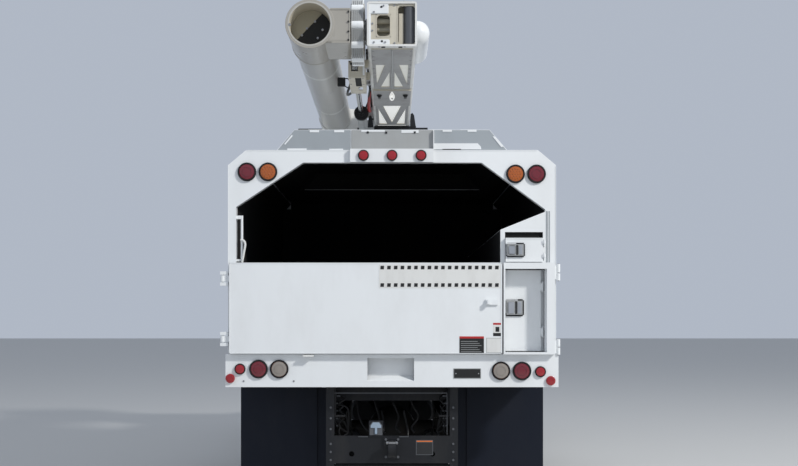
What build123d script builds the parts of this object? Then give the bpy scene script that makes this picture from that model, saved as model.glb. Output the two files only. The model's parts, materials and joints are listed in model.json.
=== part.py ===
"""Tree-care bucket truck: conventional cab, chip box body, side-by-side folding boom and bucket.

Millimetres. +Y is forward, +X the right-hand side, +Z up. Inside this file y counts forward from the
body's rear face, and export moves everything so that the origin is the middle of the outline on the floor.
"""
from build123d import *
import math
import os

# Driving dimensions of the chassis
AXLE_REAR_Y = 1400
AXLE_AHEAD = 540
RAIL_TOP_Z = 1000
RAIL_DEPTH = 270
RAIL_OUT_X = 430
RAIL_FLANGE = 80
RAIL_WALL = 12
RAIL_REAR_Y = 150
RAIL_SETBACK = 150
TOW_REACH = 70
TYRE_R = 525
TYRE_W = 280
TYRE_BEAD_R = 292
RIM_WALL = 14
FRONT_TRACK_X = 1010
KINGPIN_X = 850
KINGPIN_R = 20
DUAL_INNER_X = 755
DUAL_OUTER_X = 1058
# Driving dimensions of the body
BODY_LEN = 3660
BODY_HALF_W = 1200
FLOOR_Z = 1200
FLOOR_T = 60
EAVE_Z = 2584
ROOF_Z = 2694
ROOF_EDGE_X = 1068
SKIN = 30
RIB = 30
HUMP_TOP_Z = 2846
HUMP_BASE_X = 847
HUMP_TOP_X = 716
HUMP_LEN = 2300
HEADER_Z = 2602
SILL_Z = 960
SILL_HALF_W = BODY_HALF_W + 16
TUNNEL_X = BODY_HALF_W - 406
TUNNEL_TOP_Z = 2111
TUNNEL_EDGE_Z = 2250
GATE_TOP_Z = 1867
GATE_RIGHT_X = TUNNEL_X + 8
# Driving dimensions of the cab
CAB_GAP = 1450
CAB_LEN = 1310
CAB_HALF_W = 1040
CAB_FLOOR_Z = 1010
CAB_ROOF_Z = 2460
CAB_WALL = 45
COWL_Z = 1740
HOOD_LEN = 1370
HOOD_WALL = 20
FENDER_HALF_W = 1150
ARCH_R = 650
BUMPER_DEPTH = 170
DOOR_GAP = 8
GLASS_T = 6
# Driving dimensions of the boom
TURN_AXIS_Y = 800
PIVOT_AHEAD = 300
PIVOT_Z = 3500
BOOM_Z = 3555
BOOM_HALF_W = 178
BOOM_H = 318
BOOM_WALL = 14
BOOM_OVERHANG = 250
ELBOW_Y = 0
TUBE_X = -585
TUBE_R = 158
TUBE_WALL = 10
SLEEVE_WALL = 14
SLEEVE_LEN = 550
SHEAVE_R = 205
LINK_OUT_X = -298
LINK_IN_X = -199
LINK_WALL = 14
TIP_BACK = 60
BUCKET_SIDE = 610
BUCKET_TOP_Z = 3560
BUCKET_BOTTOM_Z = 2705
BUCKET_WALL = 8
BARREL_R = 66
ROD_R = 30
TABLE_Z = 2450
FIT = 0.05
SEAT = 0.3

CAB_Y = BODY_LEN + CAB_GAP
CAB_FRONT_Y = CAB_Y + CAB_LEN
HOOD_FRONT_Y = CAB_FRONT_Y + HOOD_LEN
BUMPER_Y = HOOD_FRONT_Y + BUMPER_DEPTH
AXLE_FRONT_Y = CAB_FRONT_Y + AXLE_AHEAD
RAIL_FRONT_Y = HOOD_FRONT_Y - RAIL_SETBACK
AXIS_Y = BODY_LEN + TURN_AXIS_Y
PIVOT_Y = AXIS_Y + PIVOT_AHEAD
TIP_Y = PIVOT_Y - TIP_BACK
REAR_SHIFT = -(BUMPER_Y + TOW_REACH - BOOM_OVERHANG) / 2
RAIL_BOTTOM_Z = RAIL_TOP_Z - RAIL_DEPTH
BOOM_BOTTOM_Z = BOOM_Z - BOOM_H / 2
BOOM_TOP_Z = BOOM_Z + BOOM_H / 2
SKIN_OUT_X = BODY_HALF_W - RIB
SKIN_IN_X = SKIN_OUT_X - SKIN


def box(x0, x1, y0, y1, z0, z1):
    """A block between two corners."""
    return Pos((x0 + x1) / 2, (y0 + y1) / 2, (z0 + z1) / 2) * Box(abs(x1 - x0), abs(y1 - y0), abs(z1 - z0))


def prism(points, axis, low, high):
    """An outline swept along an axis. Points are (y, z) for x, (x, z) for y and (x, y) for z."""
    spot = {
        "x": lambda p: (low, p[0], p[1]),
        "y": lambda p: (p[0], low, p[1]),
        "z": lambda p: (p[0], p[1], low),
    }[axis]
    way = {"x": (high - low, 0, 0), "y": (0, high - low, 0), "z": (0, 0, high - low)}[axis]
    wire = Wire.make_polygon([Vector(*spot(p)) for p in points], close=True)
    return Solid.extrude(Face(wire), Vector(*way))


def rod(axis, centre, radius, low, high):
    """A round bar along an axis. The centre is the other two coordinates in order."""
    a, b = centre
    mid = (low + high) / 2
    shape = Cylinder(radius, abs(high - low))
    if axis == "x":
        return Pos(mid, a, b) * Rot(0, 90, 0) * shape
    if axis == "y":
        return Pos(a, mid, b) * Rot(90, 0, 0) * shape
    return Pos(a, b, mid) * shape


def bar(start, end, radius):
    """A round bar between two points."""
    a, b = Vector(*start), Vector(*end)
    return Plane(origin=(a + b) / 2, z_dir=b - a) * Cylinder(radius, (b - a).length)


def mirrored(shape):
    """The same shape on the other side of the truck."""
    return mirror(shape, about=Plane.YZ)


def rounded(shape, axis, radius):
    """Edges along an axis, rounded."""
    return fillet(shape.edges().filter_by(axis), radius)


def fuse(first, *rest):
    """One solid from several that touch or overlap."""
    whole = first
    for piece in rest:
        whole = whole + piece
    return whole


NODES = {}


def keep(name, *shapes):
    """Names a node made of one or more solids."""
    NODES[name] = [solid for shape in shapes for solid in shape.solids()]


# Chassis
def make_frame():
    web = RAIL_OUT_X - RAIL_WALL
    lip = RAIL_OUT_X - RAIL_FLANGE
    outline = [
        (RAIL_OUT_X, RAIL_BOTTOM_Z), (RAIL_OUT_X, RAIL_TOP_Z), (lip, RAIL_TOP_Z),
        (lip, RAIL_TOP_Z - RAIL_WALL), (web, RAIL_TOP_Z - RAIL_WALL),
        (web, RAIL_BOTTOM_Z + RAIL_WALL), (lip, RAIL_BOTTOM_Z + RAIL_WALL), (lip, RAIL_BOTTOM_Z),
    ]
    rail = prism(outline, "y", RAIL_REAR_Y, RAIL_FRONT_Y)
    frame = fuse(rail, mirrored(rail))
    for y in (RAIL_REAR_Y + 150, AXLE_REAR_Y + 700, BODY_LEN - 760, BODY_LEN + 240, CAB_Y - 150):
        frame += box(-web, web, y, y + 60, RAIL_BOTTOM_Z + 110, RAIL_TOP_Z - 60)
    frame += box(-web, web, RAIL_FRONT_Y - 60, RAIL_FRONT_Y, RAIL_BOTTOM_Z + 20, RAIL_TOP_Z - 80)
    return frame


SPRING_X = 395
SPRING_W = 70
FRONT_SPRING_HALF = 560
REAR_SPRING_HALF = 640
SPRING_EYE_Z = 665
BEAM_Z = 500


def leaf_pack(x, y, eye_z, seat_z, half):
    """A bowed pack of leaves with its two hanger plates, seated on an axle."""
    thick = 16
    pack = None
    for n in range(3):
        reach = half * (1 - 0.24 * n)
        drop = (eye_z - seat_z) * (reach / half)
        top = [(y - reach, seat_z + drop), (y, seat_z), (y + reach, seat_z + drop)]
        low = n * thick
        outline = [(a, b + thick - low + 32) for a, b in top] + [(a, b - low + 32) for a, b in reversed(top)]
        leaf = prism(outline, "x", x - SPRING_W / 2, x + SPRING_W / 2)
        pack = leaf if pack is None else pack + leaf
    for end in (-1, 1):
        pack += box(x - 15, x + 15, y + end * half - 40, y + end * half + 40, eye_z - 10, RAIL_BOTTOM_Z)
    return pack


def make_front_axle():
    y = AXLE_FRONT_Y
    outline = [
        (-KINGPIN_X, BEAM_Z - 42), (-KINGPIN_X, BEAM_Z + 42), (-640, BEAM_Z + 42), (-520, BEAM_Z - 10),
        (520, BEAM_Z - 10), (640, BEAM_Z + 42), (KINGPIN_X, BEAM_Z + 42), (KINGPIN_X, BEAM_Z - 42),
        (640, BEAM_Z - 42), (520, BEAM_Z - 90), (-520, BEAM_Z - 90), (-640, BEAM_Z - 42),
    ]
    beam = prism(outline, "y", y - 45, y + 45)
    for side in (-1, 1):
        beam += rod("z", (side * KINGPIN_X, y), 48, BEAM_Z - 42, BEAM_Z + 42)
        beam -= rod("z", (side * KINGPIN_X, y), KINGPIN_R + FIT, BEAM_Z - 60, BEAM_Z + 60)
        beam += box(side * SPRING_X - 50, side * SPRING_X + 50, y - 60, y + 60, BEAM_Z - 10, BEAM_Z + 40)
    springs = [leaf_pack(side * SPRING_X, y, SPRING_EYE_Z, BEAM_Z + 40, FRONT_SPRING_HALF) for side in (-1, 1)]
    keep("front_axle", beam, *springs)


SHOE_GAP = 6


def make_knuckle(side, name):
    """Fork and kingpin that carry a front wheel's spindle."""
    x, y = side * KINGPIN_X, AXLE_FRONT_Y
    piece = rod("z", (x, y), KINGPIN_R, BEAM_Z - 90, BEAM_Z + 90)
    for z in (BEAM_Z + 42 + SHOE_GAP, BEAM_Z - 42 - SHOE_GAP - 36):
        piece += rod("z", (x, y), 44, z, z + 36)
        piece += box(x, x + side * 110, y - 40, y + 40, z, z + 36)
    wall = x + side * 70
    piece += box(wall, wall + side * 50, y - 60, y + 60, BEAM_Z - 84, BEAM_Z + 84)
    piece += rod("x", (y, TYRE_R), 36, wall, side * (FRONT_TRACK_X + 90))
    piece += rod("x", (y, TYRE_R), 190, wall + side * 20, wall + side * 40)
    keep(name, piece)


def ring(y, z, x0, x1, outer, inner):
    return rod("x", (y, z), outer, x0, x1) - rod("x", (y, z), inner, x0 - 1, x1 + 1)


def tyre(x, y):
    """A plain tyre turned from one outline with rounded shoulders."""
    half, r = TYRE_W / 2, TYRE_R
    outline = [
        (-half + 30, TYRE_BEAD_R), (half - 30, TYRE_BEAD_R), (half, r - 150), (half - 6, r - 45),
        (half - 34, r), (-half + 34, r), (-half + 6, r - 45), (-half, r - 150),
    ]
    wire = Wire.make_polygon([Vector(x + a, y, TYRE_R + b) for a, b in outline], close=True)
    return Solid.revolve(Face(wire), 360, Axis((x, y, TYRE_R), (1, 0, 0)))


def rim(x, y, face, hub_r, hand_holes=True):
    """A disc wheel: barrel ring, dished disc with hand holes and a bored hub. Face is +1 or -1 outward."""
    half = TYRE_W / 2 - 30
    z = TYRE_R
    piece = ring(y, z, x - half, x + half, TYRE_BEAD_R - SEAT, TYRE_BEAD_R - SEAT - RIM_WALL)
    disc_x = x + face * 20
    disc = rod("x", (y, z), TYRE_BEAD_R - 10, disc_x, disc_x + face * 16)
    for n in range(8 if hand_holes else 0):
        a = math.pi * (n + 0.5) / 4
        disc -= rod("x", (y + 205 * math.cos(a), z + 205 * math.sin(a)), 32, disc_x - 40, disc_x + 40)
    piece += disc
    piece += rod("x", (y, z), 112, disc_x, disc_x + face * 50)
    if hub_r:
        piece -= rod("x", (y, z), hub_r, disc_x - 300, disc_x + 300)
    return piece


def make_wheels():
    for side, word in ((-1, "left"), (1, "right")):
        y = AXLE_FRONT_Y
        x = side * FRONT_TRACK_X
        make_knuckle(side, "knuckle_" + word)
        keep("tyre_front_" + word, tyre(x, y))
        keep("rim_front_" + word, rim(x, y, side, 36 + FIT))
        y = AXLE_REAR_Y
        outer, inner = side * DUAL_OUTER_X, side * DUAL_INNER_X
        keep("tyres_rear_" + word, tyre(outer, y), tyre(inner, y))
        pair = rim(outer, y, -side, 0) + rim(inner, y, side, 0)
        pair += rod("x", (y, TYRE_R), 150, side * (DUAL_INNER_X + 20), side * (DUAL_OUTER_X - 20))
        pair += rod("x", (y, TYRE_R), 95, side * (DUAL_OUTER_X - 40), side * (DUAL_OUTER_X + 95))
        pair -= rod("x", (y, TYRE_R), 50 + FIT, side * (DUAL_INNER_X - 200), side * (DUAL_OUTER_X - 60))
        keep("rims_rear_" + word, pair)


def make_rear_axle():
    y, z = AXLE_REAR_Y, TYRE_R
    axle = rod("x", (y, z), 75, -600, 600)
    axle += Pos(0, y, z) * Sphere(200)
    axle += rod("y", (0, z), 90, y, y + 300)
    axle += rod("x", (y, z), 50, -(DUAL_OUTER_X - 70), DUAL_OUTER_X - 70)
    for side in (-1, 1):
        axle += box(side * SPRING_X - 50, side * SPRING_X + 50, y - 70, y + 70, z, z + 90)
    springs = [leaf_pack(side * SPRING_X, y, SPRING_EYE_Z, z + 90, REAR_SPRING_HALF) for side in (-1, 1)]
    keep("rear_axle", axle, *springs)


BEARING_Y = BODY_LEN + 40
GEARBOX_Y = CAB_Y + 340
ENGINE_Y = CAB_FRONT_Y + 50
ENGINE_END_Y = RAIL_FRONT_Y - 290
COOLER_Y = RAIL_FRONT_Y - 140


def make_driveline():
    y = AXLE_REAR_Y + 300
    web = RAIL_OUT_X - RAIL_WALL
    shaft = bar((0, y + 4, TYRE_R), (0, BEARING_Y, 690), 45)
    shaft += bar((0, BEARING_Y, 690), (0, GEARBOX_Y, 800), 45)
    shaft += rod("y", (0, 690), 70, BEARING_Y - 40, BEARING_Y + 60)
    shaft += box(-60, 60, BEARING_Y - 20, BEARING_Y + 40, 690, RAIL_TOP_Z - 60)
    shaft += box(-web, web, BEARING_Y - 20, BEARING_Y + 40, RAIL_TOP_Z - 120, RAIL_TOP_Z - 60)
    shaft += box(-170, 170, GEARBOX_Y, ENGINE_Y, 680, 960)
    shaft += box(-web, web, GEARBOX_Y + 450, GEARBOX_Y + 530, 760, 820)
    engine = box(-320, 320, ENGINE_Y, ENGINE_END_Y, 760, 1440)
    for side in (-1, 1):
        engine += box(side * 300, side * web, AXLE_FRONT_Y - 60, AXLE_FRONT_Y + 40, 800, 900)
    cooler = box(-338, 338, COOLER_Y, COOLER_Y + 70, 780, 1380)
    cooler += box(-60, 60, ENGINE_END_Y, COOLER_Y, 1000, 1060)
    keep("powertrain", engine + cooler + shaft)


# Cab and front
CAB_SIDE = [
    (CAB_Y, CAB_FLOOR_Z), (CAB_Y, 2330), (CAB_Y + 90, 2430), (CAB_FRONT_Y - 470, CAB_ROOF_Z),
    (CAB_FRONT_Y - 370, 2430), (CAB_FRONT_Y, COWL_Z), (CAB_FRONT_Y, CAB_FLOOR_Z),
]
CAB_FACE = [
    (-CAB_HALF_W, CAB_FLOOR_Z), (-CAB_HALF_W, 1700), (-975, 2370), (-890, CAB_ROOF_Z),
    (890, CAB_ROOF_Z), (975, 2370), (CAB_HALF_W, 1700), (CAB_HALF_W, CAB_FLOOR_Z),
]
DOOR_REAR_Y = CAB_Y + 270
DOOR_HINGE_Y = CAB_FRONT_Y - 90
DOOR_HINGE_X = CAB_HALF_W + 25
DOOR_PIN_R = 6
DOOR_SIDE = [
    (DOOR_REAR_Y, 1075), (DOOR_HINGE_Y, 1075), (DOOR_HINGE_Y, 1740),
    (DOOR_HINGE_Y - 300, 2330), (DOOR_REAR_Y, 2330),
]
WINDOW_SIDE = [
    (DOOR_REAR_Y + 75, 1780), (DOOR_HINGE_Y - 100, 1780), (DOOR_HINGE_Y - 340, 2255), (DOOR_REAR_Y + 75, 2255),
]
SCREEN = (-860, 860, CAB_FRONT_Y - 460, CAB_FRONT_Y + 60, 1800, 2340)
BACKLIGHT = (-450, 450, CAB_Y - 20, CAB_Y + 70, 1750, 2200)
HOOD_PIN_Y = HOOD_FRONT_Y - 40
HOOD_PIN_Z = 700
HOOD_PIN_R = 18


def shrink(points, gap):
    """A convex outline moved inward by a gap on every side."""
    area = sum(a[0] * b[1] - b[0] * a[1] for a, b in zip(points, points[1:] + points[:1]))
    turn = 1 if area > 0 else -1
    lines = []
    for a, b in zip(points, points[1:] + points[:1]):
        length = math.hypot(b[0] - a[0], b[1] - a[1])
        nx, ny = -(b[1] - a[1]) / length * turn, (b[0] - a[0]) / length * turn
        lines.append((nx, ny, nx * a[0] + ny * a[1] + gap))
    result = []
    for (a, b, c), (d, e, f) in zip(lines[-1:] + lines[:-1], lines):
        det = a * e - b * d
        result.append(((c * e - b * f) / det, (a * f - c * d) / det))
    return result


def cab_solid(gap):
    """The cab's outer form moved inward by a gap."""
    side = prism(shrink(CAB_SIDE, gap), "x", -1200, 1200)
    return side & prism(shrink(CAB_FACE, gap), "y", CAB_Y - 100, CAB_FRONT_Y + 100)


def block(corners, gap):
    x0, x1, y0, y1, z0, z1 = corners
    return box(x0 + gap, x1 - gap, y0, y1, z0 + gap, z1 - gap)


def make_cab():
    outer, inner = cab_solid(0), cab_solid(CAB_WALL)
    walls = outer - inner
    pane = cab_solid(18) - cab_solid(18 + GLASS_T)
    shell = walls - block(SCREEN, 0) - block(BACKLIGHT, 0)
    for side, word in ((-1, "left"), (1, "right")):
        low, high = (900, 1150) if side > 0 else (-1150, -900)
        shell -= prism(DOOR_SIDE, "x", low, high)
        leaf = walls & prism(shrink(DOOR_SIDE, DOOR_GAP), "x", low, high)
        leaf -= prism(WINDOW_SIDE, "x", low, high)
        for z in (1300, 1620):
            leaf += box(side * (CAB_HALF_W - 5), side * (DOOR_HINGE_X + 12), DOOR_HINGE_Y - 60, DOOR_HINGE_Y - 12, z, z + 70)
            leaf += rod("z", (side * DOOR_HINGE_X, DOOR_HINGE_Y), 12, z, z + 70)
            leaf += box(side * (DOOR_HINGE_X - 6), side * (DOOR_HINGE_X + 12), DOOR_HINGE_Y - 30, DOOR_HINGE_Y, z, z + 70)
            leaf -= rod("z", (side * DOOR_HINGE_X, DOOR_HINGE_Y), DOOR_PIN_R + FIT, z - 1, z + 71)
            shell += rod("z", (side * DOOR_HINGE_X, DOOR_HINGE_Y), DOOR_PIN_R, z - 16, z + 86)
            for low_z in (z - 16, z + 76):
                tab = box(side * (CAB_HALF_W + 1), side * (DOOR_HINGE_X + 8), DOOR_HINGE_Y - 8, DOOR_HINGE_Y + 10, low_z, low_z + 10)
                tab += box(side * (CAB_HALF_W - 3), side * (DOOR_HINGE_X + 8), DOOR_HINGE_Y + 2, DOOR_HINGE_Y + 40, low_z, low_z + 10)
                shell += tab
        leaf += box(side * (CAB_HALF_W - 2), side * (CAB_HALF_W + 22), DOOR_REAR_Y + 50, DOOR_REAR_Y + 210, 1560, 1600)
        head = rounded(box(side * 1105, side * 1315, DOOR_HINGE_Y - 150, DOOR_HINGE_Y - 85, 1760, 2180), Axis.Z, 25)
        leaf += head
        for z in (1700, 2220):
            arm_x = CAB_HALF_W - 8 if z < 1800 else 985
            leaf += bar((side * arm_x, DOOR_HINGE_Y - 120, z - 30), (side * 1210, DOOR_HINGE_Y - 118, z), 12)
        leaf += rod("z", (side * 1210, DOOR_HINGE_Y - 118), 12, 1690, 2230)
        keep("door_" + word, leaf)
        keep("door_glass_" + word, pane & prism(shrink(WINDOW_SIDE, SEAT), "x", low, high))
        for y in (CAB_Y + 40, CAB_FRONT_Y - 160):
            shell += box(side * 355, side * RAIL_OUT_X, y, y + 120, RAIL_TOP_Z, CAB_FLOOR_Z)
    shell += box(-900, 900, CAB_FRONT_Y - 20, CAB_FRONT_Y + 6, 1020, 1690)
    keep("cab_shell", shell)
    keep("cab_glass", pane & block(SCREEN, SEAT), pane & block(BACKLIGHT, SEAT))


def make_interior():
    floor = CAB_FLOOR_Z + CAB_WALL
    dash = prism(
        [(CAB_FRONT_Y - 46, 1480), (CAB_FRONT_Y - 46, 1690), (CAB_FRONT_Y - 330, 1640), (CAB_FRONT_Y - 400, 1520)],
        "x", -930, 930,
    )
    dash += box(-930, 930, CAB_FRONT_Y - 90, CAB_FRONT_Y - 45.3, floor, 1520)
    dash += box(-180, 180, CAB_FRONT_Y - 610, CAB_FRONT_Y - 60, floor, floor + 180)
    seats = []
    for x in (-520, 520):
        seat = rounded(box(x - 250, x + 250, CAB_Y + 190, CAB_Y + 680, 1330, 1460), Axis.Z, 60)
        seat += box(x - 170, x + 170, CAB_Y + 260, CAB_Y + 600, floor, 1335)
        back = prism([(CAB_Y + 110, 2050), (CAB_Y + 220, 2050), (CAB_Y + 320, 1400), (CAB_Y + 200, 1400)], "x", x - 240, x + 240)
        seats.append(seat + back)
    hub = Plane(origin=(-520, CAB_FRONT_Y - 470, 1640), x_dir=(1, 0, 0), z_dir=(0, -math.cos(math.radians(55)), math.sin(math.radians(55))))
    wheel = hub * Torus(215, 14)
    wheel += hub * Pos(0, 0, -10) * Cylinder(45, 40)
    wheel += hub * Box(430, 34, 12)
    wheel += bar((-520, CAB_FRONT_Y - 465, 1635), (-520, CAB_FRONT_Y - 330, 1540), 28)
    keep("cab_interior", dash + wheel, *seats)


def make_hood():
    y0, y1 = CAB_FRONT_Y + 14, HOOD_FRONT_Y
    side = [(y0, 1040), (y0, 1712), (y1 - 90, 1500), (y1, 1430), (y1, 745)]
    plan = [(-880, y0), (-610, y1), (610, y1), (880, y0)]
    inner_side = [(y0 - 60, 700), (y0 - 60, 1704), (y1 - 100, 1480), (y1 - 20, 1418), (y1 - 20, 700)]
    inner_plan = [(-862, y0 - 10), (-592, y1 - 20), (592, y1 - 20), (862, y0 - 10)]
    side[0:1] = [(y0, 745)]
    core = prism(side, "x", -1000, 1000) & prism(plan, "z", 700, 1800)
    void = prism(inner_side, "x", -1000, 1000) & prism(inner_plan, "z", 690, 1810)
    front = y1 - 60
    wing_side = [(y0, 745), (y0, 1290), (front - 130, 1290), (front, 1180), (front, 745)]
    wing_void = [(y0 - 60, 700), (y0 - 60, 1270), (front - 137, 1270), (front - 20, 1170), (front - 20, 700)]
    wings = prism(wing_side, "x", -FENDER_HALF_W, FENDER_HALF_W)
    hollow = prism(wing_void, "x", -FENDER_HALF_W + HOOD_WALL, FENDER_HALF_W - HOOD_WALL)
    hood = (core + wings) - (void + hollow)
    hood -= rod("x", (AXLE_FRONT_Y, TYRE_R), ARCH_R, -1300, 1300)
    hood -= box(-540, 540, y1 - 30, y1 + 30, 820, 1390)
    for side_x in (-1, 1):
        lug = rod("x", (HOOD_PIN_Y, HOOD_PIN_Z), 30, side_x * 530, side_x * 550)
        lug += box(side_x * 530, side_x * 550, HOOD_PIN_Y - 10, y1 - 10, HOOD_PIN_Z, 800)
        lug -= rod("x", (HOOD_PIN_Y, HOOD_PIN_Z), HOOD_PIN_R + FIT, side_x * 500, side_x * 600)
        hood += lug
    keep("hood", hood)
    grille = box(-540 + SEAT, 540 - SEAT, y1 - 22, y1 + 12, 820 + SEAT, 1390 - SEAT)
    grille -= box(-500, 500, y1 - 30, y1 + 30, 860, 1350)
    for n in range(9):
        z = 880 + n * 52
        grille += box(-505, 505, y1 - 16, y1 + 6, z, z + 24)
    for x in (-260, 0, 260):
        grille += box(x - 12, x + 12, y1 - 20, y1 + 8, 855, 1355)
    keep("grille", grille)
    lamps = []
    for side_x in (-1, 1):
        lamp = rounded(box(side_x * 720, side_x * 1040, front, front + 26, 960, 1120), Axis.Y, 30)
        lamps.append(lamp)
    keep("headlamps", *lamps)


def make_bumper():
    y0, y1 = HOOD_FRONT_Y, BUMPER_Y
    outline = [(-1150, y0 - 60), (-1130, y0 + 60), (-960, y1), (960, y1), (1130, y0 + 60), (1150, y0 - 60)]
    bumper = prism(outline, "z", 400, 660)
    inner = [(-1138, y0 - 70), (-1118, y0 + 54), (-955, y1 - 12), (955, y1 - 12), (1118, y0 + 54), (1138, y0 - 70)]
    bumper -= prism(inner, "z", 390, 670)
    for side in (-1, 1):
        bumper += box(side * 400, side * 425, RAIL_FRONT_Y - 40, y1 - 6, 560, 640)
        bumper += box(side * 400, side * (RAIL_OUT_X + 12), RAIL_FRONT_Y - 60, RAIL_FRONT_Y, 560, RAIL_BOTTOM_Z)
        eye = box(side * 400, side * 425, y1 - 8, y1 + TOW_REACH, 550, 640)
        eye = rounded(eye, Axis.X, 20)
        eye -= rod("x", (y1 + 30, 595), 22, side * 390, side * 440)
        bumper += eye
    keep("front_bumper", bumper)


def make_frame_nodes():
    keep("chassis_frame", make_frame() + hood_pin_bar())


def hood_pin_bar():
    bar_ = rod("x", (HOOD_PIN_Y, HOOD_PIN_Z), HOOD_PIN_R, -565, 565)
    for side in (-1, 1):
        bar_ += box(side * 455, side * 475, RAIL_FRONT_Y - 140, HOOD_PIN_Y + 20, HOOD_PIN_Z - 24, RAIL_BOTTOM_Z + 70)
        bar_ += box(side * (RAIL_OUT_X - 2), side * 475, RAIL_FRONT_Y - 140, RAIL_FRONT_Y - 20, RAIL_BOTTOM_Z + 10, RAIL_BOTTOM_Z + 70)
    return bar_


TANK_Y = CAB_Y + 60
TANK_LEN = 960


def make_side_boxes():
    y0, y1 = TANK_Y, TANK_Y + TANK_LEN
    tank = rounded(box(-1030, -450, y0, y1, 480, 960), Axis.Y, 110)
    for y in (y0 + 120, y1 - 180):
        tank += box(-1036, -444, y, y + 60, 474, 966) - box(-1028, -452, y - 1, y + 61, 482, 958)
        tank += box(-450, -RAIL_OUT_X, y, y + 60, RAIL_BOTTOM_Z, 966)
        for z in (520, 760):
            tank += box(-1090, -1000, y, y + 60, z - 40, z)
    for z in (520, 760):
        tank += box(-1120, -1040, y0 + 100, y1 - 100, z, z + 12)
    tank += rod("z", (-740, y0 + 300), 45, 950, 985)
    keep("fuel_tank", tank)
    steps = box(450, 1030, y0, y1, 500, 940)
    steps = rounded(steps, Axis.Y, 25)
    steps += box(RAIL_OUT_X, 460, y0 + 80, y1 - 80, RAIL_BOTTOM_Z, 930)
    for z in (520, 760):
        steps += box(1020, 1110, y0 + 60, y1 - 60, z, z + 12)
    keep("step_box", steps)


# Chip box body
REAR_POST_Y = 60
POST_LEFT_X = 59 - BODY_HALF_W
POST_RIGHT_X = BODY_HALF_W - 79
GUSSET_RUN = (490, 466)
FRAME_HOLE = [
    (POST_LEFT_X, FLOOR_Z - 1), (POST_LEFT_X, 2277), (POST_LEFT_X + GUSSET_RUN[0], HEADER_Z),
    (POST_RIGHT_X - GUSSET_RUN[1], HEADER_Z), (POST_RIGHT_X, 2260), (POST_RIGHT_X, FLOOR_Z - 1),
]
GATE_REAR_Y = -62
GATE_FRONT_Y = -8
GATE_HINGE_X = -35 - BODY_HALF_W
GATE_HINGE_Y = -33
GATE_LEFT_X = 15 - BODY_HALF_W
DOOR_IN_X = TUNNEL_X + 35
LOWER_DOOR_X = POST_RIGHT_X - 15
LOWER_HINGE_Z = (1330, 1660)
LOWER_DOOR_Y = 48
LOWER_DOOR_Z = (1216, 1823)
UPPER_DOOR_X = POST_RIGHT_X - 9
UPPER_DOOR_Z = (1874, 2050)
LEAF_T = 20
HEAD_T = 30
CROSS_PITCH = 620
RIB_PITCH = 480


def roof_line(gap, low, raised=False):
    """Cross-section of the roof, moved inward by a gap and open below."""
    side = BODY_HALF_W - 2 * gap
    left = [(-side, low), (-side, EAVE_Z - gap * 0.2), (-ROOF_EDGE_X + gap, ROOF_Z - gap)]
    if raised:
        left += [(-HUMP_BASE_X + gap, ROOF_Z - gap), (-HUMP_TOP_X + gap * 0.7, HUMP_TOP_Z - gap)]
    return left + [(-x, z) for x, z in reversed(left)]


def make_body():
    floor = box(-SKIN_OUT_X, SKIN_OUT_X, 101, BODY_LEN, FLOOR_Z - FLOOR_T, FLOOR_Z)
    for side in (-1, 1):
        floor += box(side * 350, side * RAIL_OUT_X, 180, BODY_LEN, RAIL_TOP_Z, FLOOR_Z - FLOOR_T)
        floor += box(side * (SKIN_OUT_X - 70), side * SKIN_OUT_X, 101, BODY_LEN, FLOOR_Z - FLOOR_T - 60, FLOOR_Z - FLOOR_T)
    for n in range(int((BODY_LEN - 450) / CROSS_PITCH) + 1):
        y = 400 + n * CROSS_PITCH
        floor += box(-SKIN_OUT_X, SKIN_OUT_X, y, y + 50, FLOOR_Z - FLOOR_T - 60, FLOOR_Z - FLOOR_T)
    keep("body_floor", floor)
    walls = []
    for side in (-1, 1):
        wall = box(side * SKIN_IN_X, side * SKIN_OUT_X, REAR_POST_Y, BODY_LEN, FLOOR_Z, EAVE_Z)
        for n in range(int((BODY_LEN - 560) / RIB_PITCH) + 1):
            y = 500 + n * RIB_PITCH
            wall += box(side * SKIN_OUT_X, side * BODY_HALF_W, y, y + 60, FLOOR_Z, EAVE_Z)
        for start, z in ((101, FLOOR_Z - 40), (REAR_POST_Y, EAVE_Z - 60)):
            wall += box(side * SKIN_OUT_X, side * BODY_HALF_W, start, BODY_LEN, z, z + 60)
        walls.append(wall)
    head = prism(roof_line(HEAD_T, FLOOR_Z), "y", BODY_LEN - HEAD_T, BODY_LEN)
    keep("body_walls", fuse(head, *walls))
    hump_y = HUMP_LEN + 100
    roof = prism(roof_line(0, EAVE_Z, True), "y", REAR_POST_Y, hump_y)
    roof += prism(roof_line(0, EAVE_Z), "y", hump_y, BODY_LEN)
    roof -= prism(roof_line(HEAD_T, EAVE_Z - 60), "y", REAR_POST_Y - 1, BODY_LEN + 1)
    roof -= prism(roof_line(HEAD_T, EAVE_Z - 60, True), "y", REAR_POST_Y - 1, hump_y - HEAD_T)
    hump_end = [(-HUMP_BASE_X, ROOF_Z), (-HUMP_TOP_X, HUMP_TOP_Z), (HUMP_TOP_X, HUMP_TOP_Z), (HUMP_BASE_X, ROOF_Z)]
    roof += prism(hump_end, "y", 20, REAR_POST_Y)
    keep("body_roof", roof)


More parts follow.
